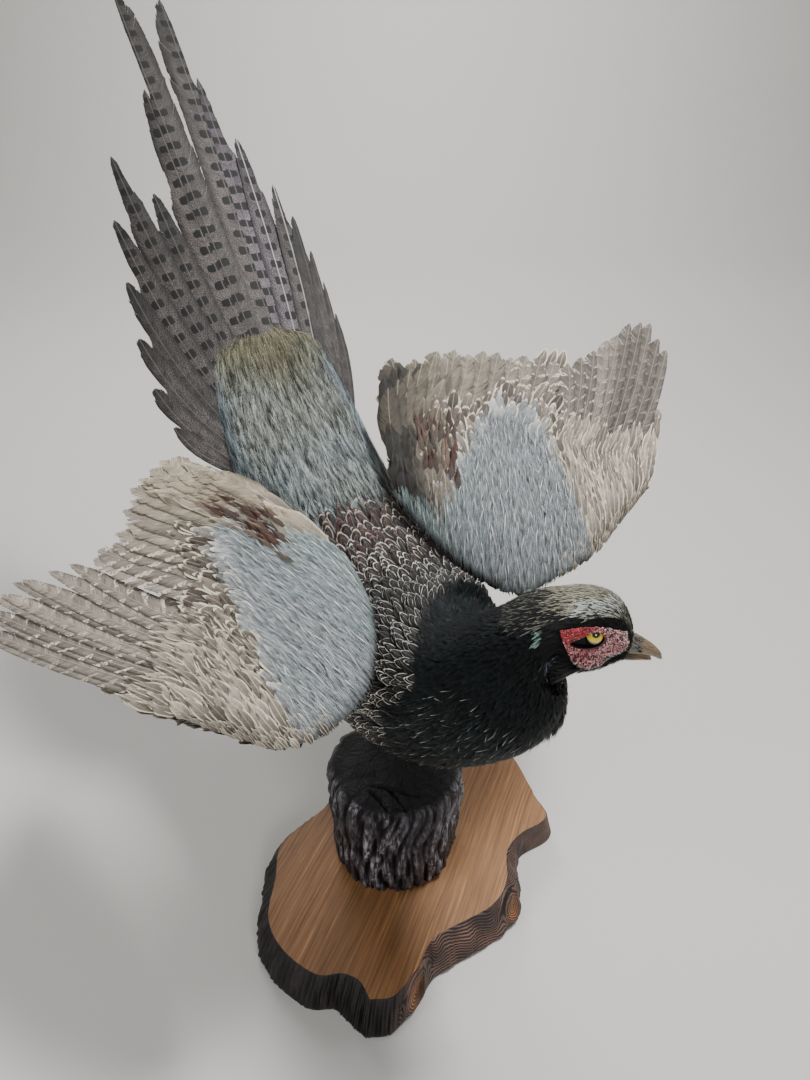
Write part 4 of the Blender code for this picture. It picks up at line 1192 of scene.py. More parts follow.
class PHEASANT_OT_head(bpy.types.Operator):
    """The crown, face and throat, the brow line and the ear tuft"""

    bl_idname = "pheasant.head"
    bl_label = "Head feathers"

    def execute(self, context):
        look = settings(context, "plumage")
        rng = np.random.default_rng(look.seed + 2)
        body = surface("body")
        coat = Coat("head_feathers")
        fine = [vane(1, 3, POINTED, 0.1, 0.1, 0.0, k) for k in range(2)]
        sites = body.scatter(rng, 0.62 * MM, zone(12.4, 20, CROWN, FACE))
        p = body.read(body.p, sites[:, 0], sites[:, 1])
        forward, up, side = head_parts(p)
        feathered = ~(inside_outline(forward, up, 0.2) & (np.abs(side) > 8))
        sites, p, forward, up = sites[feathered], p[feathered], forward[feathered], up[feathered]
        s, a = station_of(sites[:, 0], sites[:, 1])
        n = len(sites)

        def some(chance):
            return (rng.random(n) < chance)[:, None]

        def tone(colour, low, high):
            return np.array(colour) * rng.uniform(low, high, (n, 1))

        crown = body_region(s, a) == CROWN
        colour = body_colour(p, s, a, look) * rng.uniform(0.65, 1.25, (n, 1))
        brow_line = ((0, 6), (8, 10.5), (17, 12.5), (26, 14.5), (36, 14.6), (43, 12.5), (52, 4))
        above = up - blend(forward, brow_line)
        brow_top = blend(forward, ((4, 4), (14, 2.8), (22, 1.4), (44, 1.2)))
        brow = (above < brow_top) & (above > -6) & (forward > 6) & (forward < 48)
        grey = crown & (above < 8) & (above > 2) & (forward > 16) & (forward < 42)
        colour = np.where(some(0.75 * grey), tone((0.39, 0.41, 0.4), 1.0, 1.8), colour)
        dark = 0.1 + 0.25 * step(8, 2, above) + 0.5 * step(38, 50, forward) + 0.45 * step(16, 2, forward)
        colour = np.where(some(np.where(brow, 0.97, dark * crown)), tone(look.velvet, 0.8, 3), colour)
        # the lores and chin are black, with a frosted patch by the nostril
        colour = np.where(some(0.95 * ((forward > 46.5) & (up < 6))), tone(look.velvet, 0.8, 2), colour)
        nostril = (forward > 49) & (np.abs(up + 2) < 3)
        colour = np.where(some(0.5 * nostril), tone((0.3, 0.33, 0.34), 0.6, 1.2), colour)
        cheek = (forward < 17) & (forward > 1) & (up < -8) & (up > -24)
        colour = np.where(some(0.3 * cheek), tone((0.16, 0.2, 0.27), 0.2, 1.4), colour)
        below = step(-4, -12, up) * step(0, 10, forward) * step(50, 40, forward)
        length = blend(forward, ((-10, 7.5), (10, 6.5), (30, 5.5), (44, 4.5), (56, 2.0)))
        length = length * rng.uniform(0.7, 1.25, n) + 1.5 * below
        width = np.where(crown, 0.42, 0.6)
        for k, shape in enumerate(fine):
            pick = np.arange(k, n, 2)
            coat.lay(body, shape, sites[pick], length[pick], width[pick], colour[pick], colour[pick] * 1.6,
                     no_marks(len(pick), 0.2), rng, depth=0.9,
                     height=rng.uniform(0.0, 0.6, len(pick)) + 1.6 * below[pick], tumble=9)
        # bristles that reach forward over the root of the bill
        root = Surface(*self.bill_root(), True, (0.47, 0.02, 0.495, 0.2))

        def bristled(i, j):
            turn = np.mod(i, 48)
            return (j < 16) & (turn < 27) | (j < 12) & (turn > 44)

        sites = root.scatter(rng, 0.55 * MM, bristled)
        n = len(sites)
        around = np.mod(sites[:, 0], 48)
        frost = (around > 18) | (around < 6)
        colour = np.where(some(np.where(frost, 0.45, 0.05)), tone((0.34, 0.37, 0.38), 0.5, 1.2),
                          tone(look.velvet, 0.8, 2.5))
        coat.lay(root, fine[0], sites, rng.uniform(2, 3.6, n), 0.5, colour, colour, no_marks(n), rng,
                 depth=0.6, height=0.4, tumble=14)
        # the tuft of pale green ear feathers
        sites = body.scatter(rng, 0.8 * MM, lambda i, j: self.near_ear(body, i, j))
        n = len(sites)
        colour = lerp((0.1, 0.24, 0.18), (0.33, 0.5, 0.42), rng.random(n)) * rng.uniform(0.3, 1.2, (n, 1))
        coat.lay(body, fine[0], sites, rng.uniform(2.5, 4, n), 0.8, colour, colour, no_marks(n), rng,
                 depth=0.5, height=rng.uniform(0.8, 1.8, n), tumble=25)
        coat.make([coat_material("contour")], slot="head_plumage")
        return {"FINISHED"}

    def near_ear(self, body, i, j):
        forward, up, side = head_parts(body.read(body.p, i, j))
        away = ((forward - 0.4) / 1.8) ** 2 + (up / 3.2) ** 2
        return (away < 1) & (np.abs(side) > 8) & (np.abs(side) < 26)

    def bill_root(self):
        angles = np.linspace(0, 2 * math.pi, 48, endpoint=False)
        rings, outs = [], []
        for forward, up, width, above, below in curve(BILL_UPPER, np.linspace(0, 0.45, 24)):
            centre = HEAD_ORIGIN + HEAD_FORWARD * forward + HEAD_UP * up
            rings.append(oval(centre, HEAD_SIDE, HEAD_UP, width, above, below, angles, 2.0))
            outs.append(rings[-1] - centre)
        return np.stack(rings, 1) * MM, np.stack(outs, 1)


def head_parts(p):
    """Forward, up and side in the head's frame (mm) of points in metres."""
    q = np.asarray(p) / MM - HEAD_ORIGIN
    return q @ HEAD_FORWARD, q @ HEAD_UP, q @ HEAD_SIDE


def inside_outline(forward, up, grow=0.0):
    """Whether places of the head's side lie within the bare skin's edge."""
    ring = np.array(WATTLE_OUTLINE, float)
    centre = ring.mean(0)
    ring = centre + (ring - centre) * (1 + grow / 15)
    x, y = np.asarray(forward, float), np.asarray(up, float)
    inside = np.zeros(x.shape, bool)
    for (x0, y0), (x1, y1) in zip(ring, np.roll(ring, -1, 0)):
        crosses = (y0 > y) != (y1 > y)
        at = (x1 - x0) * (y - y0) / (y1 - y0 if y1 != y0 else 1e-9) + x0
        inside ^= crosses & (x < at)
    return inside


def long_feather(coat, line, left, right, rng, ground, mark, habit, box, pitch=1.8, slant=1.35, camber=0.05,
                 tilt=0.0, wear=0.05, shaft=1.5, parting=0.05, opening=0.5):
    """A flight or tail feather: bands of barbs either side of a raised shaft, along a line of centres,
    sides, ups and mm. left and right give the vane's half widths (mm) there. The bands part into
    clumps, so that the vane shows slits and a worn edge: parting is how often, opening how wide."""
    centre, side, up, y = line
    length = y[-1]
    count = max(int((length - y[0]) / pitch), 4)
    band = (length - y[0]) / count
    starts = y[0] + np.arange(count) * band
    t = np.linspace(0, 1, 4)
    co, faces, across, barb = [], [], [], []
    total = 0
    for sign, width in ((-1, left), (1, right)):
        late = step(0.72, 1.0, starts / length)
        clump = np.cumsum(rng.random(count) < parting * (1 + 2.5 * late))
        groups = clump[-1] + 1
        lean = slant * (1 + rng.normal(0, 0.08 * opening, groups)[clump])
        # halving finds how far each band reaches before it meets the vane's outline
        low, high = np.zeros(count), np.full(count, float(np.max(width)))
        for _ in range(14):
            middle = (low + high) / 2
            within = np.interp(starts + lean * middle, y, width, right=0) > middle
            low, high = np.where(within, middle, low), np.where(within, high, middle)
        reach = low * (1 - wear * (1 + 1.2 * late) * rng.random(groups)[clump]
                       - 0.3 * wear * rng.random(count))
        x = reach[:, None] * t
        base = starts[:, None] + (lean * reach)[:, None] * t**1.15
        gap = np.where(np.append(clump[1:] != clump[:-1], True), opening, 0.0)[:, None] * t**1.5
        yy = np.stack([base, np.minimum(base + band * (1.08 - gap), length)], 1)
        xx = np.stack([x, x], 1)
        curl = (rng.normal(0, 0.2, groups)[clump] * np.linspace(0.5, 1.2, count))[:, None, None]
        z = -camber * xx**2 / 10 - tilt * sign * xx + curl * (xx / max(np.max(width), 1)) ** 2
        c, s, u = (np.stack([np.interp(yy.ravel(), y, part[:, k]) for k in range(3)], -1)
                   for part in (centre, side, up))
        co.append(c + (s * xx.reshape(-1, 1) * sign + u * z.reshape(-1, 1)) * MM)
        at = np.arange(xx.size).reshape(count, 2, 4) + total
        quads = np.stack([at[:, 0, :-1], at[:, 0, 1:], at[:, 1, 1:], at[:, 1, :-1]], -1).reshape(-1, 4)
        faces.append(quads if sign > 0 else quads[:, ::-1])
        full = np.maximum(np.interp(starts, y, width), 2.0)[:, None, None]
        across.append((sign * np.clip(xx / full, 0, 1)).ravel())
        barb.append(np.stack([(sign * xx).ravel(), yy.ravel()], -1))
        total += xx.size
    steps = np.linspace(y[0], length * 0.985, 26)
    c, s, u = (np.stack([np.interp(steps, y, part[:, k]) for k in range(3)], -1)
               for part in (centre, side, up))
    thin = (shaft * (1 - 0.8 * steps / length))[:, None] * MM
    corners = [c - s * thin * 0.5, c + u * thin * 0.45, c + s * thin * 0.5, c - u * thin * 0.3]
    co.append(np.stack(corners, 1).reshape(-1, 3))
    at = np.arange(len(steps) * 4).reshape(-1, 4) + total
    faces += [np.stack([at[:-1, k], at[:-1, (k + 1) % 4], at[1:, (k + 1) % 4], at[1:, k]], -1)
              for k in range(4)]
    across = np.concatenate([*across, np.zeros(at.size)])
    barb = np.concatenate([*barb, np.stack([np.zeros(at.size), np.repeat(steps, 4)], -1)])
    along = barb[:, 1] / length
    u0, v0, u1, v1 = box
    bake = np.stack([u0 + (u1 - u0) * (across * 0.5 + 0.5), v0 + (v1 - v0) * along], -1)
    barb = barb + (0, rng.uniform(0, 50))
    coat.add(np.concatenate(co)[None], np.concatenate(faces), across[None], along[None], barb[None],
             bake[None], np.asarray(ground)[None], np.asarray(mark)[None], np.asarray(habit)[None])


def strip(index, total):
    """A long feather's own strip of the bake map."""
    return ((index + 0.05) / total, 0.02, (index + 0.95) / total, 0.98)


def feather_line(wing, u_root, u_tip, w0, w1, bow, lift):
    """Centre, side, up and mm along a flight feather over the wing's plane."""
    t = np.linspace(0, 1, 28)
    w = w0 + (w1 - w0) * t
    u = u_root + (u_tip - u_root) * t
    flat = wing.flat(u, w)
    way = unit(np.gradient(flat, axis=0))
    cross = np.column_stack([-way[:, 1], way[:, 0]])
    cross *= np.sign((cross * (wing.flat(u + 0.01, w) - flat)).sum(1, keepdims=True))
    flat = flat + cross * (np.sin(math.pi * t) * bow)[:, None]
    centre = wing.place(flat, lift - TIP_DROOP * np.clip(w - 1, 0, 1) ** 2)
    run = run_along(centre) / MM
    side = cross[:, :1] * wing.along + cross[:, 1:] * wing.across
    up = unit(np.cross(unit(np.gradient(centre, axis=0)), side))
    return centre, side, up * np.sign((up * wing.up).sum(1, keepdims=True)), run


# Share along a flight or tail feather | share of the vane's width
PRIMARY_SHAPE = ((0, 0.4), (0.3, 1), (0.6, 0.9), (0.85, 0.66), (0.96, 0.36), (1, 0))
SECONDARY_SHAPE = ((0, 0.4), (0.3, 1), (0.82, 1), (0.93, 0.72), (0.98, 0.35), (1, 0))
CENTRE_SHAPE = ((0, 0.6), (0.15, 1), (0.86, 1), (0.94, 0.75), (0.98, 0.4), (1, 0))
TAIL_SHAPE = ((0, 0.6), (0.15, 1), (0.7, 1), (0.84, 0.8), (0.93, 0.5), (0.98, 0.3), (1, 0))


class PHEASANT_OT_wings(bpy.types.Operator):
    """Primaries, secondaries and tertials, and the coverts over and under them"""

    bl_idname = "pheasant.wings"
    bl_label = "Wings"

    def execute(self, context):
        for number, (side, spec) in enumerate((("right", RIGHT_WING), ("left", LEFT_WING))):
            rng = np.random.default_rng(settings(context, "plumage").seed + 10 + number)
            look = settings(context, "wing")
            self.quills(side, Wing(spec), look, rng)
            self.coverts(side, spec, look, rng)
            self.lining(side, look, rng)
        return {"FINISHED"}

    def quills(self, side, wing, look, rng):
        coat = Coat(f"flight_feathers_{side}")
        total = PRIMARIES + SECONDARIES + TERTIALS
        # painted shade: the left wing's flight feathers are darker copies of the right wing's
        shade = 0.9 if side == "right" else 0.62
        cream = np.array(look.cream)
        quill, tertial = np.array(look.quill) * shade, np.array(look.tertial) * shade
        for k in range(PRIMARIES):
            if side == "right":
                tip = RIGHT_TIPS[k]
            else:
                tip = PRIMARY_SHARE * (k + 0.34 + rng.uniform(-0.12, 0.12)) / PRIMARIES
            line = feather_line(wing, 0.5 * tip + 0.1, tip, 0.55, 2.0 - 0.04 * rng.random(), -4, 0.2)
            shape = blend(line[3] / line[3][-1], PRIMARY_SHAPE)
            habit = (rng.uniform(0.3, 1.0) if side == "right" or k > 4 else 0.2, 0.3, 0.35)
            inner = 10.5 if side == "right" else 15
            long_feather(coat, line, 5.5 * shape, inner * shape, rng, quill * rng.uniform(0.5, 1.2), cream,
                         habit, strip(k, total), tilt=0.13, wear=0.04, slant=1.6)
        for k in range(SECONDARIES):
            tip = PRIMARY_SHARE + (0.985 - PRIMARY_SHARE) * (k + 0.4) / SECONDARIES
            line = feather_line(wing, tip - 0.01, tip, 0.6, rng.uniform(1.9, 2.0), -2, 0.5)
            shape = blend(line[3] / line[3][-1], SECONDARY_SHAPE)
            # painted shade on the left wing's inner secondaries
            painted_inner_shade = 1 if side == "right" else 1 - 0.8 * float(step(0.8, 0.97, tip))
            ground = lerp(quill, tertial * 1.2, k / SECONDARIES) * rng.uniform(0.75, 1.12) * painted_inner_shade
            long_feather(coat, line, 10 * shape, 15 * shape, rng, ground, cream,
                         (0.8 if k < 4 else 0.0, 0.3, 0.4), strip(PRIMARIES + k, total), tilt=0.12, wear=0.2,
                         slant=1.4, parting=0.1)
        for k in range(TERTIALS):
            tip = 0.85 + 0.135 * (k + 0.5) / TERTIALS
            line = feather_line(wing, tip, tip, 0.3, 1.9 - 0.12 * k, 2, 2.2 + 0.5 * k)
            shape = blend(line[3] / line[3][-1], SECONDARY_SHAPE)
            # painted shade, deeper on each tertial of the left wing
            deep = 1.0 if side == "right" else 0.6 - 0.1 * k
            long_feather(coat, line, 10 * shape, 9 * shape, rng, tertial * rng.uniform(1.0, 1.3) * deep,
                         cream * deep, (0.0, 0.3, 0.35), strip(PRIMARIES + SECONDARIES + k, total),
                         tilt=0.07, wear=0.3, slant=1.3, parting=0.15)
        coat.make([coat_material("wing")], (f"primaries_{side}", f"secondaries_{side}"), "flight_feather")

    def coverts(self, side, spec, look, rng):
        surf = surface(f"{side}_upper")
        coat = Coat(f"wing_coverts_{side}")
        scales = [vane(4, 6, SCALE, 0.1, 0.2, 0.05, k) for k in range(3)]
        rounded = [vane(4, 6, BROAD, 0.1, 0.3, 0.05, k) for k in range(3)]
        blades = [vane(3, 6, BROAD, 0.12, 0.25, 0.08, k) for k in range(3)]
        lines = [vane(1, 4, POINTED, 0.0, 0.1, 0.0, k) for k in range(3)]
        hairs = [strands(6, 3, 0.8, 0.12, k) for k in range(3)]
        edge = lambda i: blend(i / WING_STEPS, spec["grey"])
        # painted shade: the left wing's coverts are darker copies of the right wing's
        shade = 1.0 if side == "right" else 0.54
        tertial = np.array(look.tertial) * shade
        dark, taupe = np.array(look.scaly) * (0.8 + 0.2 * shade), linear("7c7266")

        def scaly(i, j):
            u, w = i / WING_STEPS, j / WING_STEPS
            last = 0.74 if side == "right" else 0.86
            low, high = edge(i) - 0.1, np.maximum(edge(i) + 0.3, 1.02)
            return (w > low) & (w < high) & (w > 0.1) & (u > 0.36) & (u < last)

        def leading(i, j):
            u, w = i / WING_STEPS, j / WING_STEPS
            return (u < 0.44) & (w > np.maximum(edge(i) - 0.08, 0.02)) & (w < 1.02)

        def inner(i, j):
            u, w = i / WING_STEPS, j / WING_STEPS
            return (u > 0.8) & (w > edge(i) - 0.12) & (w < 1.3)

        def maroon(i, j):
            u, w = i / WING_STEPS, j / WING_STEPS
            if side == "right":
                return (u > 0.77) & (u < 0.93) & (w > 0.5) & (w < 1.02)
            return (u > 0.76) & (u < 0.88) & (w > 0.35) & (w < 0.85)

        def grey(i, j):
            return j / WING_STEPS < edge(i) + rng.uniform(-0.08, 0.1, np.shape(i))

        def pale(i, j):
            return j / WING_STEPS < edge(i) - 0.02

        def front(i, j):
            return (j / WING_STEPS < 0.08) & (i / WING_STEPS < 0.42)

        # kind | spacing (mm), two where it lies in rows | length, width | shapes | where | height
        layers = (
            ("scaly", (7.4, 7.4), 25, 10.5, rounded, scaly, 1.0),
            ("leading", (5.6, 9.5), 30, 8.0, scales, leading, 0.9),
            ("inner", (6.0, 14), 44, 11, blades, inner, 1.8),
            ("maroon", 4.6, 30, 3.6, blades, maroon, 3.0),
            ("grey", 1.5, 12, 2.8, hairs, grey, 1.5),
            ("pale", 4.2, 17, 0.6, lines, pale, 2.2),
            ("front", 3.4, 9, 4.6, scales, front, 1.1),
        )
        for kind, spacing, length, width, shapes, inside, height in layers:
            if isinstance(spacing, tuple):
                sites = surf.rows(rng, spacing[0] * MM, spacing[1] * MM, inside)
            else:
                sites = surf.scatter(rng, spacing * MM, inside)
            rng.shuffle(sites)
            for shape, some, n, p in surf.deal(sites, shapes):
                u, w = some.T / WING_STEPS
                slow = ripple(p, 70) * 0.5 + 0.5
                mark = np.tile(look.cream, (n, 1)) * rng.uniform(0.85, 1.15, (n, 1))
                habit = np.zeros((n, 3))
                turn = 0.0
                if kind == "scaly":
                    colour = lerp(dark, taupe, rng.random(n) ** 1.5)
                    colour = lerp(colour, look.covert, 0.7 * step(0.1, -0.08, w - edge(some[:, 0])))
                    habit[:, 1:] = np.column_stack([rng.uniform(0.75, 1, n), rng.uniform(0.0, 0.4, n)])
                elif kind in ("leading", "front"):
                    colour = lerp(look.buff, dark, 0.1 + 0.7 * rng.random(n))
                    habit[:, 1:] = np.column_stack([rng.uniform(0.6, 1, n), rng.uniform(0.2, 0.7, n)])
                elif kind == "inner":
                    colour = lerp(tertial, np.array(look.quill) * shade, rng.random(n) * 0.6)
                    if side == "left":
                        # painted shade, deepening towards the left wing's inner edge
                        painted_inner_shade = (1 - 0.92 * step(0.78, 0.93, u))[:, None]
                        colour, mark = colour * painted_inner_shade, mark * painted_inner_shade * 0.7
                    habit[:, 1:] = np.column_stack([0.4 * rng.random(n), rng.uniform(0.2, 0.8, n)])
                elif kind == "maroon":
                    colour = lerp(look.maroon, tertial, 0.5 * rng.random(n) ** 2)
                    colour = colour * rng.uniform(0.4, 1.2, (n, 1))
                elif kind == "grey":
                    inwards = np.clip(step(0.62, 0.9, u) * 0.9 + 0.5 * slow - 0.2, 0, 1)
                    colour = lerp(look.covert, look.turquoise, inwards)
                    worn = rng.random((n, 1)) < 0.06
                    # painted light: the right wing's grey coverts are a little lighter than the left wing's
                    colour = np.where(worn, colour * 0.6, colour) * (1.15 if side == "right" else 1.0)
                else:
                    colour = lerp(look.covert, (0.85, 0.85, 0.82), rng.uniform(0.2, 1, n))
                    turn = rng.normal(0, 8, n)
                spread = (0.72, 1.22) if kind == "grey" else (0.65, 1.3)
                colour = colour * rng.uniform(*spread, (n, 1))
                coat.lay(surf, shape, some, length * rng.uniform(0.8, 1.2, n),
                         width * rng.uniform(0.85, 1.1, n), colour, mark, habit, rng, depth=0.8,
                         height=height * rng.uniform(0.6, 1.3, n), turn=turn, tumble=6,
                         slot=int(kind in ("grey", "pale")))
        if side == "left":
            # three narrow feathers stand out past the wing's hind edge, edged with buff
            sites = np.column_stack([(39.5, 42.0, 36.5), (150, 147, 152)]).astype(float)
            coat.lay(surf, vane(4, 6, POINTED, 0.2, 0.0), sites, 27, 9.5, np.tile(taupe, (3, 1)),
                     np.tile(look.cream, (3, 1)), np.tile((0, 1.0, 0.6), (3, 1)), rng, height=0.2, tumble=2)
        coat.make([coat_material("covert"), coat_material("contour")], slot="plumage_grey")

    def lining(self, side, look, rng):
        surf = surface(f"{side}_lower")
        coat = Coat(f"wing_lining_{side}")
        small = [vane(2, 4, CONTOUR, 0.18, 0.25, 0.03, k) for k in range(3)]
        sites = surf.scatter(rng, 5.0 * MM, lambda i, j: j / WING_STEPS < 1.25)
        for shape, some, n, _ in surf.deal(sites, small):
            colour = lerp(look.buff, look.quill, rng.random(n)) * rng.uniform(0.7, 1.1, (n, 1))
            habit = np.column_stack([np.zeros(n), 0.5 * rng.random(n), 0.4 * rng.random(n)])
            coat.lay(surf, shape, some, 18 * rng.uniform(0.85, 1.2, n), 9, colour,
                     np.tile(look.cream, (n, 1)), habit, rng, depth=0.8, height=0.8, tumble=8)
        coat.make([coat_material("contour")], slot="plumage_grey")


def tail_lane(i, along):
    """Where the middle of tail feather i runs across the fan (mm)."""
    length, across = TAIL_TIPS[i]
    root = (2 * (i + 0.5) / len(TAIL_TIPS) - 1) * TAIL_ROOT_WIDTH
    v = (along - TAIL_START) / (length - TAIL_START)
    return root + (across - root) * (v + 0.18 * np.sin(math.pi * np.minimum(v, 1.0)))


class PHEASANT_OT_tail(bpy.types.Operator):
    """The long barred tail, its feathers parted at the tips"""

    bl_idname = "pheasant.tail"
    bl_label = "Tail"

    def execute(self, context):
        look = settings(context, "tail")
        rng = np.random.default_rng(settings(context, "plumage").seed + 30)
        coat = Coat("tail_feathers")
        total, middle = len(TAIL_TIPS), 8.5
        for i, (length, _) in enumerate(TAIL_TIPS):
            along = np.linspace(TAIL_START + 12, length, 48)
            across = tail_lane(i, along)
            rank = abs(i - middle)
            v = (along - along[0]) / (length - along[0])
            centre = tail_place(along, across, (3.4 - 0.55 * rank) * (1 - v) + 0.3)
            run = run_along(centre) / MM
            way = unit(np.gradient(centre, axis=0))
            lateral = unit(tail_place(along, across + 1, 0.0) - tail_place(along, across, 0.0))
            up = unit(np.cross(lateral, way))
            widths = []
            for other in (i - 1, i + 1):
                half = np.full(48, 3.4)
                if 0 <= other < total:
                    room = np.abs(tail_lane(other, along) - across)
                    beyond = step(TAIL_TIPS[other][0] - 25, TAIL_TIPS[other][0], along)
                    half = np.minimum(room * (1.15 - 0.7 * beyond), 16 if rank < 2 else 11)
                widths.append(np.maximum(half, 2.4) * blend(v, CENTRE_SHAPE if rank < 1 else TAIL_SHAPE))
            ground = np.array(look.ground) * rng.uniform(0.6, 1.15)
            if 9 < i < 12:
                ground = lerp(ground, look.lilac, 0.6)
            ground = lerp(ground, look.bar, 0.3 * step(1, 4, 8 - i) + 0.3 * (i > 12))
            bars = 1.0 if rank < 2 else 0.62 if 3 < i < 13 else 0.35
            habit = (bars, 0.75 if rank < 2 else 1.0, 0.85 if i in (11, 12) else 0.1)
            long_feather(coat, (centre, unit(np.cross(way, up)), up, run), *widths, rng, ground,
                         np.array(look.bar), habit, strip(i, total), pitch=look.barb_pitch / MM, slant=1.9,
                         camber=0.09, tilt=0.1 * np.sign(i - middle), wear=0.1, shaft=1.0, parting=0.1,
                         opening=0.02)
        coat.make([coat_material("tail")], ("tail",), "tail_feather")
        return {"FINISHED"}


# ---------------------------------------------------------------------------------------------
# The head's bare parts


def loft_rings(rings, cap=True):
    """A skin through rings of points: a grid rolled into a tube, its ends filled."""
    around = len(rings[0])
    bm = bmesh.new()
    bmesh.ops.create_grid(bm, x_segments=around, y_segments=len(rings) - 1, size=1.0)
    bm.verts.ensure_lookup_table()
    for k, v in enumerate(bm.verts):
        row, column = divmod(k, around + 1)
        v.co = rings[row][column % around]
    seam = {bm.verts[r * (around + 1) + around]: bm.verts[r * (around + 1)] for r in range(len(rings))}
    bmesh.ops.weld_verts(bm, targetmap=seam)
    if cap:
        bmesh.ops.holes_fill(bm, edges=[e for e in bm.edges if e.is_boundary], sides=0)
    bmesh.ops.recalc_face_normals(bm, faces=bm.faces)
    return bm


EYE_OPENING = (
    (13.7, 2.6), (17, 4.8), (20.4, 7.2), (23.2, 9.5), (26.5, 10.6), (29.8, 9.9), (32, 7.4), (31.5, 4.2),
    (29, 1.9), (25.5, 0.6), (21, 0.2), (16.5, 0.9),
)


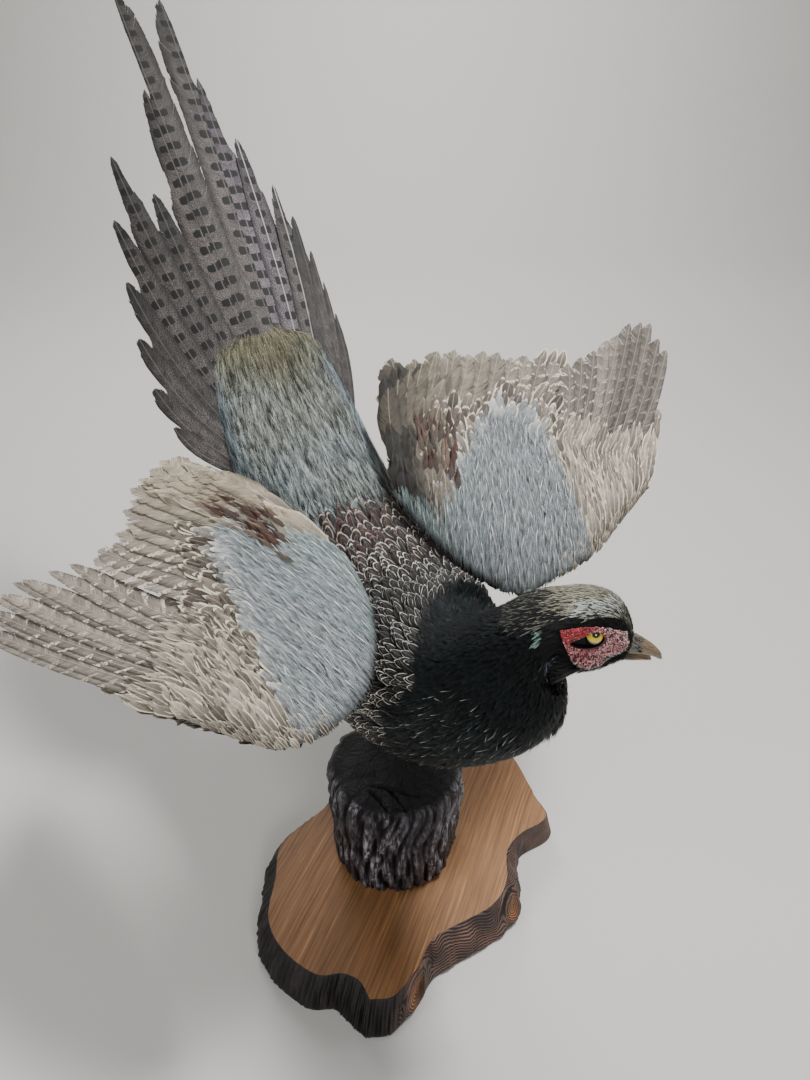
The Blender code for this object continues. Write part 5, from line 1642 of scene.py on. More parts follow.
class PHEASANT_OT_face(bpy.types.Operator):
    """The bare skin with its papillae and lids, the glass eyes and the bill"""

    bl_idname = "pheasant.face"
    bl_label = "Wattle, eyes and bill"

    def execute(self, context):
        look = settings(context, "head")
        rng = np.random.default_rng(settings(context, "plumage").seed + 40)
        # dried bare skin between the papillae, the thin smooth edge of the lid, and the dark hollow
        # behind the eye
        skins = [
            natural("dried_wattle_skin", ("1c0c0c", "5a1c1f", "8a3033"), 1.1, 0.6, 0.5),
            natural("eyelid_skin", ("1d0d0f", "5b2c31", "8b5a58"), 0.8, 0.4),
            natural("black_wax", ("030303", "060606", "0c0b0b"), 1.0, 0.4),
        ]
        papilla = painted_material("painted_papillae", 0.4, 0.55, 1.3, 0.5)
        for side, sign in (("right", -1), ("left", 1)):
            self.papillae(side, self.wattle(side, sign, skins), look, papilla, rng)
            self.eye(side, sign, look)
        self.bill(look)
        return {"FINISHED"}

    def wattle(self, side, sign, skins):
        """The bare skin as rings from its edge in to the lids, then down into the hollow."""
        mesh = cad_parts[f"wattle_{side}"].data
        solid = BVHTree.FromPolygons([v.co for v in mesh.vertices], [p.vertices for p in mesh.polygons])
        inward = Vector(-sign * HEAD_SIDE)
        edge = np.array(WATTLE_OUTLINE, float)
        corner = run_along(np.vstack([edge, edge[:1]]))
        at = np.linspace(0, corner[-1], 161)[:-1]
        edge = np.column_stack([np.interp(at, corner, np.append(edge[:, k], edge[0, k])) for k in (0, 1)])
        opening = curve(EYE_OPENING + (EYE_OPENING[0],), np.linspace(0, 1, 241))
        middle = opening.mean(0)
        turns = np.arctan2(*(opening - middle).T[::-1])
        order = np.argsort(turns)
        reach = np.hypot(*(opening - middle).T)[order]
        angle = np.arctan2(*(edge - middle).T[::-1])
        far = np.interp(angle, turns[order], reach, period=2 * math.pi)
        ball = np.array((EYE[0] - 2.4, EYE[1] + 1.2))
        lid = middle + np.column_stack([np.cos(angle), np.sin(angle)]) * far[:, None]
        rings, last = [], None
        for t in np.linspace(0, 1, 22):
            flat = edge * (1 - t) + lid * t
            flat = middle + (flat - middle) * (0.985 if t == 0 else 1)
            out = np.empty(len(flat))
            for k, (f, u) in enumerate(flat):
                hit = solid.ray_cast(Vector(head_place(f, u, sign * 40)), inward)
                out[k] = 40 - hit[3] / MM if hit[0] else np.nan
            good = ~np.isnan(out)
            out = np.interp(np.arange(len(out)), np.flatnonzero(good), out[good], period=len(out))
            # the lids lie over the eyeball
            away = np.hypot(*(flat - ball).T)
            over = EYE[2] + 1.0 + np.sqrt(np.maximum((EYE_RADIUS + 0.35) ** 2 - away**2, 0)) + 0.2
            out = np.where(away < EYE_RADIUS + 0.35, np.maximum(out, over), out)
            swell = 0.1 + 0.3 * math.sin(math.pi * min(t * 4, 0.5))
            rings.append(head_place(*flat.T, sign * (out + swell)))
            last = out
        grid = np.swapaxes(np.array(rings), 0, 1)
        surf = Surface(grid, np.broadcast_to(-np.array(inward), grid.shape), True, (0, 0, 1, 1))
        # share of the lid's opening | how far it stands out (mm)
        hollow = ((0.985, 0.55), (0.955, 0.6), (0.93, 0.3), (0.91, -0.5), (0.86, -1.8), (0.7, -3.4),
                  (0.4, -4.2), (0.1, -4.4))
        for q, lift in hollow:
            flat = middle + (lid - middle) * q
            rings.append(head_place(*flat.T, sign * (last * q + last.mean() * (1 - q) + lift)))
        bm = loft_rings(rings, cap=False)
        bm.faces.ensure_lookup_table()
        for k, face in enumerate(bm.faces):
            row = k // len(edge)
            face.material_index = 0 if row < 21 else 1 if row < 24 else 2
        piece_from(bm, f"bare_skin_{side}", skins, (f"wattle_{side}",))
        return surf

    def papillae(self, side, surf, look, material, rng):
        sites = surf.scatter(rng, 0.56 * MM, lambda i, j: j < 20.3)
        p = surf.read(surf.p, sites[:, 0], sites[:, 1])
        nrm = unit(surf.read(surf.n, sites[:, 0], sites[:, 1]))
        forward, up, _ = head_parts(p)
        n = len(p)
        bead = bmesh.new()
        bmesh.ops.create_icosphere(bead, subdivisions=1, radius=1.0)
        co = np.array([v.co for v in bead.verts])
        tris = np.array([[v.index for v in f.verts] for f in bead.faces])
        bead.free()
        size = rng.uniform(0.24, 0.5, n) * MM
        a = unit(np.cross(nrm, (0.3, 0.2, 1.0)))
        b = np.cross(nrm, a)
        tall = nrm * rng.uniform(0.8, 1.7, (n, 1))
        centre = p + nrm * rng.uniform(-0.1, 0.3, (n, 1)) * MM
        x, y, z = co.T[:, None, :, None]
        verts = centre[:, None] + size[:, None, None] * (x * a[:, None] + y * b[:, None] + z * tall[:, None])
        mesh = bpy.data.meshes.new(f"papillae_{side}")
        faces = tris[None] + np.arange(n)[:, None, None] * len(co)
        mesh.from_pydata(verts.reshape(-1, 3), [], faces.reshape(-1, 3))
        rear = step(27, 20, forward) * step(0, 4, up)
        pale = np.clip(0.55 + 0.4 * step(24, 34, forward) - 0.8 * rear + rng.uniform(-0.5, 0.45, n), 0, 1)
        colour = lerp(look.wattle, look.wattle_pale, pale) * rng.uniform(0.6, 1.25, (n, 1))
        outer = np.clip(step(34, 42, forward) + step(-2, -9, up) + step(16, 10, forward), 0, 1)
        rim = step(5, 1, sites[:, 1]) * (1 - rear) * outer
        chalky = (rng.random(n) < 0.08 + 0.75 * rim)[:, None]
        colour = np.where(chalky, np.array((0.5, 0.46, 0.43)) * rng.uniform(0.6, 1.2, (n, 1)), colour)
        specks = 0.06 + (0.3 * step(3, -6, up) + 0.16 * step(30, 36, forward)) * (1 - rear)
        colour = np.where((rng.random(n) < specks)[:, None], np.array((0.03, 0.015, 0.015)), colour)
        keep_colours(mesh, "Ground", np.repeat(colour, len(co), 0))
        mesh.shade_smooth()
        mesh.materials.append(material)
        finish_piece(mesh, f"papillae_{side}")

    def eye(self, side, sign, look):
        centre = Vector(head_place(EYE[0] - 2.4, EYE[1] + 1.2, sign * (EYE[2] + 1.0)))
        axis = Vector(unit(HEAD_SIDE * sign * 0.72 + HEAD_UP * 0.66 - HEAD_FORWARD * 0.1))
        turn = axis.to_track_quat("Z", "Y").to_matrix().to_4x4()
        bm = bmesh.new()
        bmesh.ops.create_uvsphere(bm, u_segments=48, v_segments=32, radius=EYE_RADIUS * MM,
                                  matrix=Matrix.Translation(centre) @ turn)
        for v in bm.verts:
            d = (v.co - centre).normalized().dot(axis)
            v.co += axis * max(d - 0.82, 0) * 2.2 * MM  # the cornea bulges over the iris
        piece_from(bm, f"glass_eye_{side}", eye_material(side, centre, axis, look),
                   (f"eye_{side}",))

    def bill(self, look):
        horn = bill_material(look)
        angles = np.linspace(0, 2 * math.pi, 28, endpoint=False)
        c, z = np.cos(angles), np.sin(angles)
        for name, stations in (("bill_upper", BILL_UPPER), ("bill_lower", BILL_LOWER)):
            rings = []
            for forward, up, width, above, below in curve(stations, np.linspace(0, 1, 26)):
                centre = HEAD_ORIGIN + HEAD_FORWARD * forward + HEAD_UP * up
                ring = oval(centre, HEAD_SIDE, HEAD_UP, width, above, below, angles, 2.0)
                if name == "bill_upper":
                    # a ridged culmen, a cutting edge that stands out below, and a nostril under its flap
                    culmen = 0.35 * np.exp(-((c / 0.22) ** 2)) * (z > 0) * width / 6
                    cutting_edge = np.sign(c) * 0.35 * np.exp(-(((z + 0.35) / 0.3) ** 2))
                    ring = ring + HEAD_UP * culmen[:, None]
                    ring = ring + HEAD_SIDE * cutting_edge[:, None] * min(1, width / 5)
                    pit = math.exp(-(((forward - 57.4) / 1.9) ** 2))
                    nostril = np.sign(c) * 1.1 * pit * np.exp(-(((z - 0.15) / 0.2) ** 2))
                    flap = np.sign(c) * 0.7 * pit * np.exp(-(((z - 0.6) / 0.2) ** 2))
                    ring = ring - HEAD_SIDE * nostril[:, None]
                    ring = ring + HEAD_SIDE * flap[:, None]
                rings.append(ring * MM)
            piece_from(loft_rings(rings), "horn_" + name, horn, (name,))


def eye_material(side, centre, axis, look):
    """Painted glass: a black pupil and a yellow iris with fine rays, darker at its edge."""
    material, add = new_material(f"painted_glass_eye_{side}")
    place = add("TexCoord").outputs["Object"]
    away = add("VectorMath SUBTRACT", place, tuple(centre))
    along = add("VectorMath DOT_PRODUCT", away, tuple(axis)).outputs["Value"]
    size = add("VectorMath LENGTH", away).outputs["Value"]
    facing = add("Math ARCCOSINE", add("Math DIVIDE", along, size))
    rays = add("TexNoise", place, None, 1500.0, 3.0)
    ring = add("Math MULTIPLY_ADD", rays, 0.05, add("Math SUBTRACT", facing, 0.025))
    yellow = np.array(look.iris)
    stops = [(0.0, (0.012, 0.012, 0.011)), (0.33, (0.006, 0.006, 0.006)), (0.37, yellow * 0.3),
             (0.45, yellow), (0.85, yellow * 1.1), (0.97, yellow * 0.6), (1.0, (0.01, 0.009, 0.008))]
    shader = add("BsdfPrincipled", add("ValToRGB", ring, ramp=stops),
                 into={"Roughness": 0.25, "Coat Weight": 1.0, "Coat Roughness": 0.03})
    add("OutputMaterial", shader)
    return material


def bill_material(look):
    """Horn, worn smooth: beige, browner along the ridge, with faint lengthwise growth streaks."""
    material, add = new_material("worn_horn")
    away = add("VectorMath SUBTRACT", add("TexCoord").outputs["Object"], tuple(HEAD_ORIGIN * MM))
    forward, side, up = (add("VectorMath DOT_PRODUCT", away, tuple(v)).outputs["Value"]
                         for v in (HEAD_FORWARD, HEAD_SIDE, HEAD_UP))
    scaled = [add("Math MULTIPLY", v, k) for v, k in ((forward, 120.0), (up, 1300.0), (side, 1300.0))]
    streak = add("TexNoise", add("CombineXYZ", *scaled), None, 1.0, 4.0)
    light = np.array(look.bill)
    colour = add("ValToRGB", streak, ramp=[(0.3, light * 0.4), (0.5, light), (0.72, light * 1.5)])
    ridge = add("MapRange", add("Math MULTIPLY_ADD", forward, 0.42, up), 0.0195, 0.0235, 0.0, 0.6)
    colour = add("MixRGB", ridge, colour, rgba(light * (0.3, 0.27, 0.25)))
    colour = add("MixRGB", add("MapRange", forward, 0.0595, 0.0545, 0.0, 0.75), colour,
                 rgba(linear("5b5850")))
    bump = add("Bump", 0.4, 0.0003, into={"Height": streak})
    add("OutputMaterial", add("BsdfPrincipled", colour, into={"Roughness": 0.36, "Normal": bump}))
    return material


# ---------------------------------------------------------------------------------------------
# Feet


def tube_bm(points, radii, around, squash=1.0):
    rings = ring_rows(points, radii, around)
    if squash != 1.0:
        mid = np.asarray(points)[:, None]
        rings = mid + (rings - mid) * (1, 1, squash)
    return loft_rings(rings * MM)


class PHEASANT_OT_feet(bpy.types.Operator):
    """Scaled shanks and toes with claws and spurs, standing on the log"""

    bl_idname = "pheasant.feet"
    bl_label = "Feet"

    def execute(self, context):
        scale = leg_material()
        horn = natural("claw_horn", ("1b1714", "3a322a", "5a5044"), 2.5, 0.35, 0.2)  # dark polished horn
        for name, (x, y, turn) in FEET.items():
            sign = -1 if name == "right" else 1
            ankle, heel, _, _ = leg_line(name)
            whole = bmesh.new()
            claws = bmesh.new()
            t = np.linspace(0, 1, 60)
            shank = (ankle - (0, 0, 3), ankle * 0.5 + heel * 0.5, heel, heel + unit(heel - ankle) * 8)
            line = curve(shank, t)
            scutes = 0.32 * np.abs(np.sin(t * math.pi * 13)) ** 0.5
            thick = SHANK_RADIUS * blend(t, ((0, 1.05), (0.35, 0.85), (0.8, 1.08), (1, 0.8)))
            merge(whole, tube_bm(line, thick - 0.3 + scutes, 20))
            root = ankle * 0.62 + heel * 0.38
            t = np.linspace(0, 1, 14)
            spur = curve((root, root + (-sign * 2, 8, 0), root + (-sign * 3, 13.4, 2.8)), t)
            merge(claws, tube_bm(spur, blend(t, ((0, 2.9), (0.5, 1.9), (1, 0.35))), 14))
            for length, angle in zip(TOE_LENGTHS, TOE_ANGLES):
                way = math.radians(turn - sign * angle)
                way = np.array((math.sin(way), -math.cos(way), 0))
                t = np.linspace(0, 0.86, 44)
                joints = 1 + 0.1 * np.cos(t / 0.86 * math.pi * 6)
                thick = TOE_RADIUS * blend(t, ((0, 1.1), (0.35, 0.92), (0.7, 0.8), (0.86, 0.55))) * joints
                scutes = 0.22 * np.abs(np.sin(t * math.pi * length / 3.4)) ** 0.5
                sole = np.array((x, y, LOG_TOP + 0.3))
                line = sole + way * (t * length)[:, None] + np.outer(thick + 0.3, (0, 0, 1))
                merge(whole, tube_bm(line, thick - 0.25 + scutes, 16))
                t = np.linspace(0, 1, 16)
                base = np.array((x, y, LOG_TOP + 2.2)) + way * length * 0.8
                arch = 1.0 * np.sin(t * math.pi * 0.75) - 1.1 * t**2
                line = base + way * (length * 0.2 * t)[:, None] + np.outer(arch, (0, 0, 1))
                merge(claws, tube_bm(line, blend(t, ((0, 1.5), (0.4, 1.15), (1, 0.25))), 12))
            bmesh.ops.recalc_face_normals(whole, faces=whole.faces)
            bmesh.ops.recalc_face_normals(claws, faces=claws.faces)
            piece_from(whole, f"foot_{name}", scale, (f"leg_{name}",))
            piece_from(claws, f"claws_{name}", horn)
        return {"FINISHED"}


def leg_material():
    """Dried leg scales: grey-brown plates with darker seams, slightly waxy."""
    material, add = new_material("dried_leg_scales")
    place = add("Mapping", add("TexCoord").outputs["Object"], into={"Scale": (1, 1, 1.4)})
    cell = add("TexVoronoi", place, None, 620.0, feature="DISTANCE_TO_EDGE").outputs["Distance"]
    noise = add("TexNoise", place, None, 260.0, 4.0)
    colour = add("ValToRGB", noise,
                 ramp=[(0.3, linear("4b4238")), (0.55, linear("7d7263")), (0.75, linear("9c9382"))])
    colour = add("MixRGB", add("MapRange", cell, 0.09, 0.02, 0.0, 0.7), colour, rgba(linear("2a241e")))
    bump = add("Bump", 0.7, 0.003, into={"Height": add("Math MINIMUM", cell, 0.12)})
    add("OutputMaterial", add("BsdfPrincipled", colour, into={"Roughness": 0.5, "Normal": bump}))
    return material


# ---------------------------------------------------------------------------------------------
# The stand

# The slab's outline: x, y (mm) | how much further its foot flares there
SLAB_OUTLINE = (
    (-82, -113, 3), (-66, -119, 3), (-42, -110, 4), (-20, -98, 5), (8, -98, 4), (34, -98, 4), (56, -87, 6),
    (74, -65, 4), (95, -57, -4), (124, -54, 0), (131, -28, 0), (141, 10, 0), (138, 45, 0), (112, 70, 0),
    (72, 76, 0), (36, 68, 0), (0, 62, 0), (-37, 48, 0), (-80, 34, 2), (-99, 6, 4), (-117, -22, 2),
    (-118, -50, 2), (-106, -78, 2), (-90, -87, 3), (-82, -98, 8),
)
SLAB_THICKNESS, SLAB_FLARE = 30, 8
SLAB_PROFILE = ((0, 0.9), (0.12, 1), (0.6, 0.66), (0.93, 0.14), (1, 0))
KNOTS = ((0.224, 0.5, 11), (0.083, 0.48, 14))  # share round the outline, share of the height, size (mm)
LOG_PROFILE = ((0, 0.97), (0.06, 1), (0.3, 1.02), (0.55, 1.05), (0.78, 1.08), (1, 1.07))
LOG_RADIUS, LOG_FOOT, LOG_HEAD, LOG_BASE = 48.5, (0, -10.5), (-2, -10), 30.3


def closed_rows(rows, cap_rings=10):
    """A closed skin round rows of rings, its two ends filled with rings that shrink to the middle."""
    rings = []
    for end in (0, -1):
        ring = rows[end]
        middle = ring.mean(0)
        rings.append([middle + (ring - middle) * q
                      for q in (0.996, 0.985, *np.linspace(1, 0.03, cap_rings)[1:])])
    return loft_rings([r * MM for r in (*rings[0][::-1], *rows, *rings[1])])


def keep_values(bm, name, points, values):
    """Gives each vertex the four values of the place (mm) that it was made from."""
    layer = bm.verts.layers.float_color.new(name)
    tree = KDTree(len(points))
    for k, point in enumerate(points * MM):
        tree.insert(point, k)
    tree.balance()
    for v in bm.verts:
        v[layer] = values[tree.find(v.co)[1]]


class PHEASANT_OT_slab(bpy.types.Operator):
    """The flat slab with its ridged live edge and knots"""

    bl_idname = "pheasant.slab"
    bl_label = "Slab"

    def execute(self, context):
        look = settings(context, "stand")
        n = 720
        t = np.linspace(0, 1, n + 1)[:-1]
        outline = curve(SLAB_OUTLINE + (SLAB_OUTLINE[0],), t)
        flat, extra = outline[:, :2], outline[:, 2]
        out = unit(flat - flat.mean(0))
        a = t * 2 * math.pi
        brown = step(0.03, 0.07, t) * step(0.5, 0.42, t)
        rows, grains = [], []
        for z in np.concatenate([[0.0], np.linspace(0.03, 0.97, 26), [1.0]]):
            ridge = np.sin(150 * a + 3 * np.sin(7 * a) + 1.3 * z)
            ridge = ridge + 0.5 * np.sin(211 * a + 2 * np.sin(5 * a) - 2 * z)
            ridge = ridge * (1 - 0.8 * brown) + 0.8 * np.sin(31 * a + 4 * z)
            ridge = ridge + 0.5 * np.sin(53 * a - 3 * z + 2 * np.sin(3 * a))
            amount = math.sin(math.pi * min(max(z, 0.0), 1.0)) ** 0.4
            far = (SLAB_FLARE + extra) * blend(z, SLAB_PROFILE) + (ridge - 1.0) * amount
            # growth lines run along the edge and bend round the knots
            grain = (1 - z) * SLAB_THICKNESS + 2.5 * np.sin(9 * a) + 1.2 * np.sin(23 * a + 1)
            heart = np.zeros(n)
            for place, level, size in KNOTS:
                du = (np.mod(t - place + 0.5, 1) - 0.5) * 800
                r = np.hypot(du / size, (z - level) * SLAB_THICKNESS / (size * 0.8))
                far = far + 2.4 * np.exp(-((r - 1.0) ** 2) * 4) - 1.2 * np.exp(-(r**2) * 3)
                near = step(2.6, 0.9, r)
                grain = grain * (1 - near) + r * size * 1.15 * near
                heart = np.maximum(heart, step(1.3, 0.5, r))
            # the ridge's height is kept too: the edge's material paints shade in the furrows and light on
            # the ridges
            grains.append(np.column_stack([grain / 100, brown, heart, ridge / 3 + 0.5]))
            rim = 0.5 if z in (0.0, 1.0) else 0.0
            ring = flat + out * (far - rim)[:, None]
            rows.append(np.column_stack([ring, np.full(n, z * SLAB_THICKNESS)]))
        bm = closed_rows(rows, 8)
        bm.normal_update()
        keep_values(bm, "Grain", np.concatenate(rows), np.concatenate(grains))
        for face in bm.faces:
            on_top = abs(face.normal.z) > 0.9 and face.calc_center_median().z > 0.5 * SLAB_THICKNESS * MM
            face.material_index = 0 if on_top else 1
        piece_from(bm, "live_edge_slab", [plank_material(look), edge_material(look)], ("slab",))
        return {"FINISHED"}


class PHEASANT_OT_log(bpy.types.Operator):
    """The short upright log with dark furrowed bark that rounds over its top"""

    bl_idname = "pheasant.log"
    bl_label = "Log"

    def execute(self, context):
        look = settings(context, "stand")
        n = 420
        a = np.linspace(0, 2 * math.pi, n, endpoint=False)
        rows, reliefs = [], []
        shoulders = 0.88 + 0.12 * np.sin(np.linspace(0, math.pi / 2, 12)[1:])
        for z in np.concatenate([np.linspace(0, 0.88, 53), shoulders]):
            scale = blend(z, LOG_PROFILE)
            lump = 1 + 0.024 * np.sin(2 * a + 0.6) + 0.014 * np.sin(5 * a + 2 + z)
            lump += 0.012 * np.sin(9 * a + 3 * z)
            twist = a + 0.08 * np.sin(5 * z)
            bark = 1.7 * np.abs(np.sin(11 * twist + 1.4 * np.sin(3 * a + 4 * z))) ** 0.5
            bark += 0.9 * np.sin(29 * twist + 1.7 * np.sin(4 * a - 7 * z))
            cracks = 0.7 * np.sin(61 * twist + 3 * np.sin(2 * a + 9 * z))
            bark += cracks + 0.6 * np.sin(17 * z + 4 * np.sin(5 * a))
            fade = 1 - step(0.93, 1.0, z)
            shoulder = 10 * (1 - math.sqrt(1 - min(1, max(0, (z - 0.88) / 0.12)) ** 2))
            shoulder = shoulder * (0.8 + 0.2 * np.sin(4 * a + 1))
            far = LOG_RADIUS * scale * lump + (bark - 2.2) * fade - shoulder
            centre = np.array(LOG_FOOT) * (1 - z) + np.array(LOG_HEAD) * z
            height = np.full(n, LOG_BASE + z * (LOG_TOP - LOG_BASE))
            flat = centre + np.column_stack([np.cos(a), np.sin(a)]) * far[:, None]
            rows.append(np.column_stack([flat, height]))
            # the bark's height is kept too: the bark's material paints shade in the furrows and light on the
            # ridges
            reliefs.append(np.column_stack([bark / 4, np.full(n, z), np.zeros(n), np.ones(n)]))
        bm = closed_rows(rows, 60)
        keep_values(bm, "Relief", np.concatenate(rows), np.concatenate(reliefs))
        bm.normal_update()
        for v in bm.verts:
            if v.co.z > (LOG_TOP - 14) * MM:
                x, y = v.co.x / MM, v.co.y / MM
                for x0, y0, x1, y1 in ((-34, -26, -30, -58), (-22, -30, -18, -60), (-30, -22, -6, -48)):
                    d = np.array((x1 - x0, y1 - y0))
                    s = np.clip(((x - x0) * d[0] + (y - y0) * d[1]) / d.dot(d), 0, 1)
                    gap = math.hypot(x - x0 - s * d[0], y - y0 - s * d[1])
                    v.co -= v.normal * 3.0 * MM * math.exp(-((gap / 1.2) ** 4))
                uneven = 1 + math.sin(x * 0.13 + 2) * math.cos(y * 0.17)
                v.co.z -= 0.9 * MM * uneven * step(LOG_TOP - 8, LOG_TOP - 1, v.co.z / MM)
        piece_from(bm, "bark_log", bark_material(look), ("log",))
        return {"FINISHED"}


def plank_material(look):
    """Planed and oiled softwood: long straight grain with fine pale lines and pores."""
    material, add = new_material("oiled_plank")
    place = add("Mapping", add("TexCoord").outputs["Object"], into={"Rotation": (0, 0, math.radians(-38))})
    warp = add("TexNoise", place, None, 7.0, 2.0).outputs[1]
    moved = add("VectorMath MULTIPLY_ADD", warp, (0.006, 0.009, 0.0), place)
    grain, fine, wide = (
        add("TexNoise", add("VectorMath MULTIPLY", moved, way), None, 1.0, 4.0, 0.6)
        for way in ((14.0, 700.0, 60.0), (60.0, 2600.0, 100.0), (5.0, 26.0, 10.0))
    )
    light, dark = np.array(look.wood), np.array(look.wood_dark)
    colour = add("ValToRGB", grain,
                 ramp=[(0.3, dark), (0.48, lerp(dark, light, 0.7)), (0.6, light), (0.74, light * 1.9)])
    colour = add("MixRGB MULTIPLY", 1.0, colour, add("MapRange", wide, 0.3, 0.7, 0.75, 1.3))
    colour = add("MixRGB", add("MapRange", fine, 0.44, 0.34, 0.0, 0.5), colour, rgba(dark * 0.7))
    bump = add("Bump", 0.3, 0.0003, into={"Height": grain})
    rough = add("MapRange", grain, 0.3, 0.7, 0.62, 0.5)
    add("OutputMaterial", add("BsdfPrincipled", colour, into={"Roughness": rough, "Normal": bump}))
    return material


def edge_material(look):
    """Bark side of the slab: scorched charcoal round the left, brown with dark growth lines on the right."""
    material, add = new_material("scorched_live_edge")
    place = add("TexCoord").outputs["Object"]
    tall = add("Mapping", place, into={"Scale": (1, 1, 0.12)})
    ridge = add("TexNoise", tall, None, 520.0, 5.0, 0.7)
    char = np.array(look.char)
    colour = add("ValToRGB", ridge,
                 ramp=[(0.32, char * 0.3), (0.5, char), (0.66, char * 2.4), (0.8, linear("3c3536"))])
    grain = add("Attribute", attribute_name="Grain")
    line, brown, heart = add("SeparateXYZ", grain.outputs["Vector"]).outputs
    # painted light: the ridge height kept with the mesh darkens the furrows and lightens the ridges
    colour = add("MixRGB MULTIPLY", 1.0, colour,
                 add("MapRange", grain.outputs["Alpha"], 0.2, 0.9, 0.25, 2.2))
    patch = add("TexNoise", place, None, 45.0, 4.0)
    line = add("Math MULTIPLY_ADD", patch, 2.4, add("Math MULTIPLY", line, 100.0))
    wave = add("Math PINGPONG", line, 1.15)
    burnt = add("ValToRGB", wave,
                ramp=[(0.25, linear("0d090a")), (0.5, linear("2c1e1e")), (0.8, linear("6d4d3f"))])
    core = add("ValToRGB", wave,
               ramp=[(0.2, linear("2a150c")), (0.5, linear("7d4a28")), (0.8, linear("a9713f"))])
    burnt = add("MixRGB", heart, burnt, core)
    burnt = add("MixRGB MULTIPLY", 1.0, burnt, add("MapRange", patch, 0.35, 0.65, 0.35, 1.5))
    colour = add("MixRGB", brown, colour, burnt)
    relief = add("MixRGB", brown, ridge, wave)
    bump = add("Bump", 0.7, 0.0008, into={"Height": relief})
    add("OutputMaterial", add("BsdfPrincipled", colour, into={"Roughness": 0.55, "Normal": bump}))
    return material


def bark_material(look):
    """Dry charcoal-coloured bark, cracked along the trunk, dark in its furrows with painted shade; its
    worn grey-lilac ridges are rubbed shiny, their pale colour partly wear and partly painted highlight.
    """
    material, add = new_material("dry_bark")
    place = add("TexCoord").outputs["Object"]
    ridge = add("TexNoise", add("Mapping", place, into={"Scale": (1, 1, 0.25)}), None, 420.0, 7.0, 0.75)
    worn = add("TexNoise", add("Mapping", place, into={"Scale": (1, 1, 0.5)}), None, 42.0, 4.0, 0.6)
    plate = add("TexVoronoi", add("Mapping", place, into={"Scale": (1, 1, 0.3)}), None, 110.0,
                feature="DISTANCE_TO_EDGE").outputs["Distance"]
    bark = np.array(look.bark)
    # painted light: the fine ridge noise, which also raises the bump, lightens ridges and darkens furrows
    colour = add("ValToRGB", ridge,
                 ramp=[(0.3, bark * 0.3), (0.46, bark), (0.6, bark * 3.0), (0.76, linear("7d767a"))])
    relief = add("SeparateXYZ", add("Attribute", attribute_name="Relief").outputs["Vector"])
    # painted light: the log's own relief darkens its furrows and lightens its ridges
    colour = add("MixRGB MULTIPLY", 1.0, colour, add("MapRange", relief, 0.0, 0.6, 0.2, 3.0))
    # the pale rub on the worn ridges: partly wear, partly painted highlight
    pale = add("Math MULTIPLY", add("MapRange", worn, 0.46, 0.66), add("MapRange", ridge, 0.46, 0.6))
    pale = add("Math MULTIPLY", pale, add("MapRange", relief, 0.1, 0.5))
    colour = add("MixRGB", pale, colour, rgba(linear("b4afb8")))
    # the top is painted dark: painted shadow of the bird above it
    colour = add("MixRGB", add("MapRange", relief.outputs[1], 0.95, 0.99, 0.0, 0.9), colour,
                 rgba(bark * 0.25))
    colour = add("MixRGB", add("MapRange", plate, 0.05, 0.0, 0.0, 0.75), colour, rgba(bark * 0.2))
    height = add("Math MULTIPLY_ADD", add("Math MINIMUM", plate, 0.1), 4.0, ridge)
    bump = add("Bump", 1.0, 0.0014, into={"Height": height})
    add("OutputMaterial", add("BsdfPrincipled", colour,
                              into={"Roughness": 0.38, "Specular IOR Level": 0.25, "Normal": bump}))
    return material


# ---------------------------------------------------------------------------------------------
# Floor, lights and camera


# The camera's own right, up and back, and its place (m)
CAMERA_AXES = ((0.8493, -0.5269, 0.0344), (0.2466, 0.4535, 0.8565), (-0.4668, -0.7189, 0.5150))
CAMERA_PLACE = (-0.2417, -0.3796, 0.5817)
# Name | place and size (m) | share of the key light's power
LIGHTS = (
    ("key", (0.5, -0.1, 1.65), 0.3, 1.0), ("side", (-1.25, -0.1, 0.95), 0.6, 0.2),
    ("front", (-0.3, -1.3, 1.0), 0.5, 0.26), ("back", (0.2, 1.3, 1.25), 0.6, 0.3),
    ("sweep", (1.0, 1.6, 2.2), 1.5, 2.2),
)
BIRD_MIDDLE, SWEEP_MIDDLE = (0, 0.02, 0.28), (1.9, 3.0, 0.9)


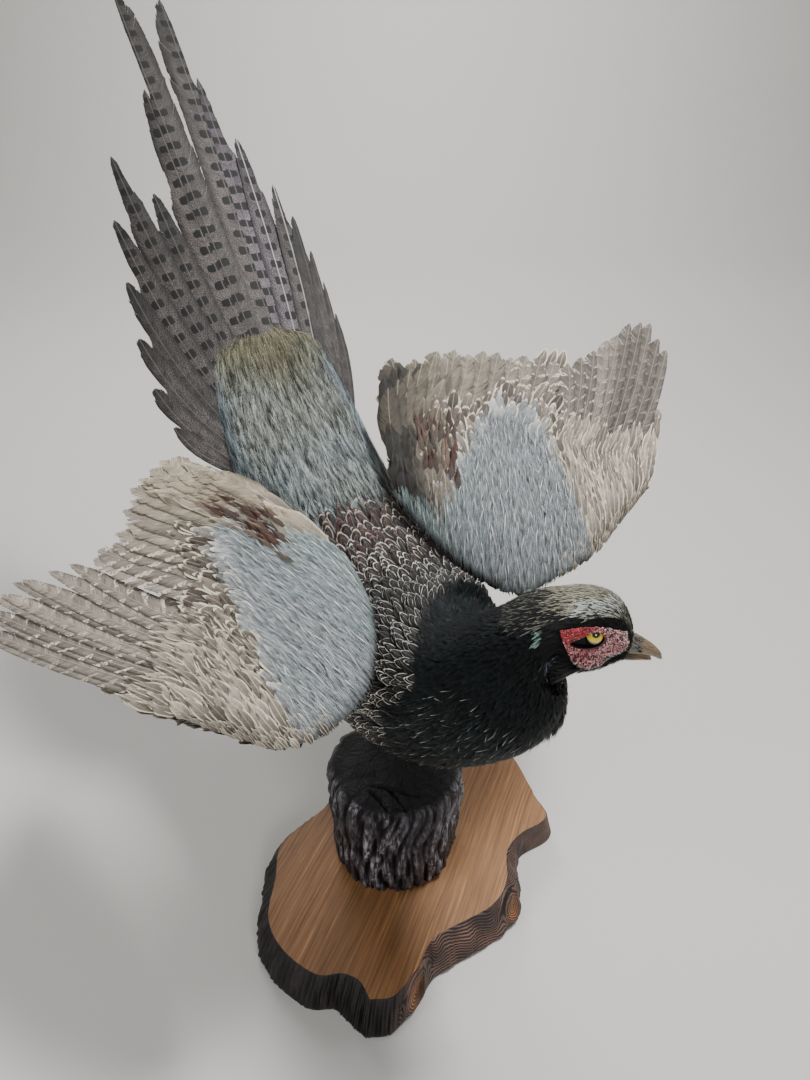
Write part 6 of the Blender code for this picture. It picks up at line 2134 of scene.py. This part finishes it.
class PHEASANT_OT_stage(bpy.types.Operator):
    """A plain pale floor that sweeps up behind, soft studio lights and the camera"""

    bl_idname = "pheasant.stage"
    bl_label = "Stage"

    def execute(self, context):
        look = settings(context, "stage")
        back = CAMERA_AXES[2]
        away = unit(np.array((-back[0], -back[1], 0)))
        wide = np.array((away[1], -away[0], 0))
        angles = np.linspace(0, math.pi / 2, 13)
        profile = [(-4, 0), *((2.4 + math.sin(a), 1 - math.cos(a)) for a in angles), (3.4, 4)]
        bm = bmesh.new()
        bmesh.ops.create_grid(bm, x_segments=1, y_segments=len(profile) - 1, size=1.0)
        for v in bm.verts:
            far, high = profile[round((v.co.y + 1) / 2 * (len(profile) - 1))]
            v.co = away * far + wide * (v.co.x * 6) + (0, 0, high - 0.0005)
        mesh = mesh_from(bm, "floor")
        mesh.shade_smooth()
        # smooth painted board, matt, so that it only catches soft shadows
        material, add = new_material("matt_floor")
        add("OutputMaterial", add("BsdfPrincipled", rgba(look.floor), into={"Roughness": 0.85}))
        mesh.materials.append(material)
        floor = bpy.data.objects.new("floor", mesh)
        context.scene.collection.objects.link(floor)
        for name, place, size, share in LIGHTS:
            light = bpy.data.lights.new(name, "AREA")
            light.size = size
            light.energy = look.key * share
            obj = bpy.data.objects.new(name, light)
            obj.location = place
            target = SWEEP_MIDDLE if name == "sweep" else BIRD_MIDDLE
            obj.rotation_euler = (Vector(target) - Vector(place)).to_track_quat("-Z", "Y").to_euler()
            context.scene.collection.objects.link(obj)
        world = bpy.data.worlds.new("studio")
        world.use_nodes = True
        background = world.node_tree.nodes["Background"]
        background.inputs[0].default_value = (0.93, 0.96, 1.0, 1)
        background.inputs[1].default_value = look.fill
        context.scene.world = world
        camera = bpy.data.cameras.new("camera")
        camera.lens = look.lens
        camera.sensor_width = 36
        camera.clip_start = 0.01
        eye = bpy.data.objects.new("camera", camera)
        turn = Matrix(CAMERA_AXES).transposed()
        eye.matrix_world = Matrix.Translation(CAMERA_PLACE) @ turn.to_4x4()
        context.scene.collection.objects.link(eye)
        context.scene.camera = eye
        return {"FINISHED"}


class VIEW3D_PT_pheasant(bpy.types.Panel):
    """The operators and their sizes"""

    bl_label = "Mounted pheasant"
    bl_idname = "VIEW3D_PT_pheasant"
    bl_space_type = "VIEW_3D"
    bl_region_type = "UI"
    bl_category = "Pheasant"

    def draw(self, context):
        for kind in GROUPS:
            box = self.layout.box()
            group = settings(context, kind)
            for key in group.bl_rna.properties.keys():
                if key not in ("rna_type", "name"):
                    box.prop(group, key)
        for operator in OPERATORS:
            self.layout.operator(operator.bl_idname)


GROUPS = {
    "plumage": PlumageSettings, "wing": WingSettings, "tail": TailSettings, "head": HeadSettings,
    "stand": StandSettings, "stage": StageSettings,
}
OPERATORS = (
    PHEASANT_OT_skin, PHEASANT_OT_back, PHEASANT_OT_front, PHEASANT_OT_head, PHEASANT_OT_wings,
    PHEASANT_OT_tail, PHEASANT_OT_face, PHEASANT_OT_feet, PHEASANT_OT_slab, PHEASANT_OT_log,
    PHEASANT_OT_stage,
)


def register():
    for cls in (*GROUPS.values(), *OPERATORS, VIEW3D_PT_pheasant):
        bpy.utils.register_class(cls)
    for name, group in GROUPS.items():
        setattr(bpy.types.Scene, "pheasant_" + name, PointerProperty(type=group))


def unregister():
    for name in GROUPS:
        delattr(bpy.types.Scene, "pheasant_" + name)
    for cls in reversed((*GROUPS.values(), *OPERATORS, VIEW3D_PT_pheasant)):
        bpy.utils.unregister_class(cls)


def main():
    register()
    bpy.ops.pheasant.skin()
    bpy.ops.pheasant.back()
    bpy.ops.pheasant.front()
    bpy.ops.pheasant.head()
    bpy.ops.pheasant.wings()
    bpy.ops.pheasant.tail()
    bpy.ops.pheasant.face()
    bpy.ops.pheasant.feet()
    bpy.ops.pheasant.slab()
    bpy.ops.pheasant.log()
    bpy.ops.pheasant.stage()


if __name__ == "__main__":
    main()
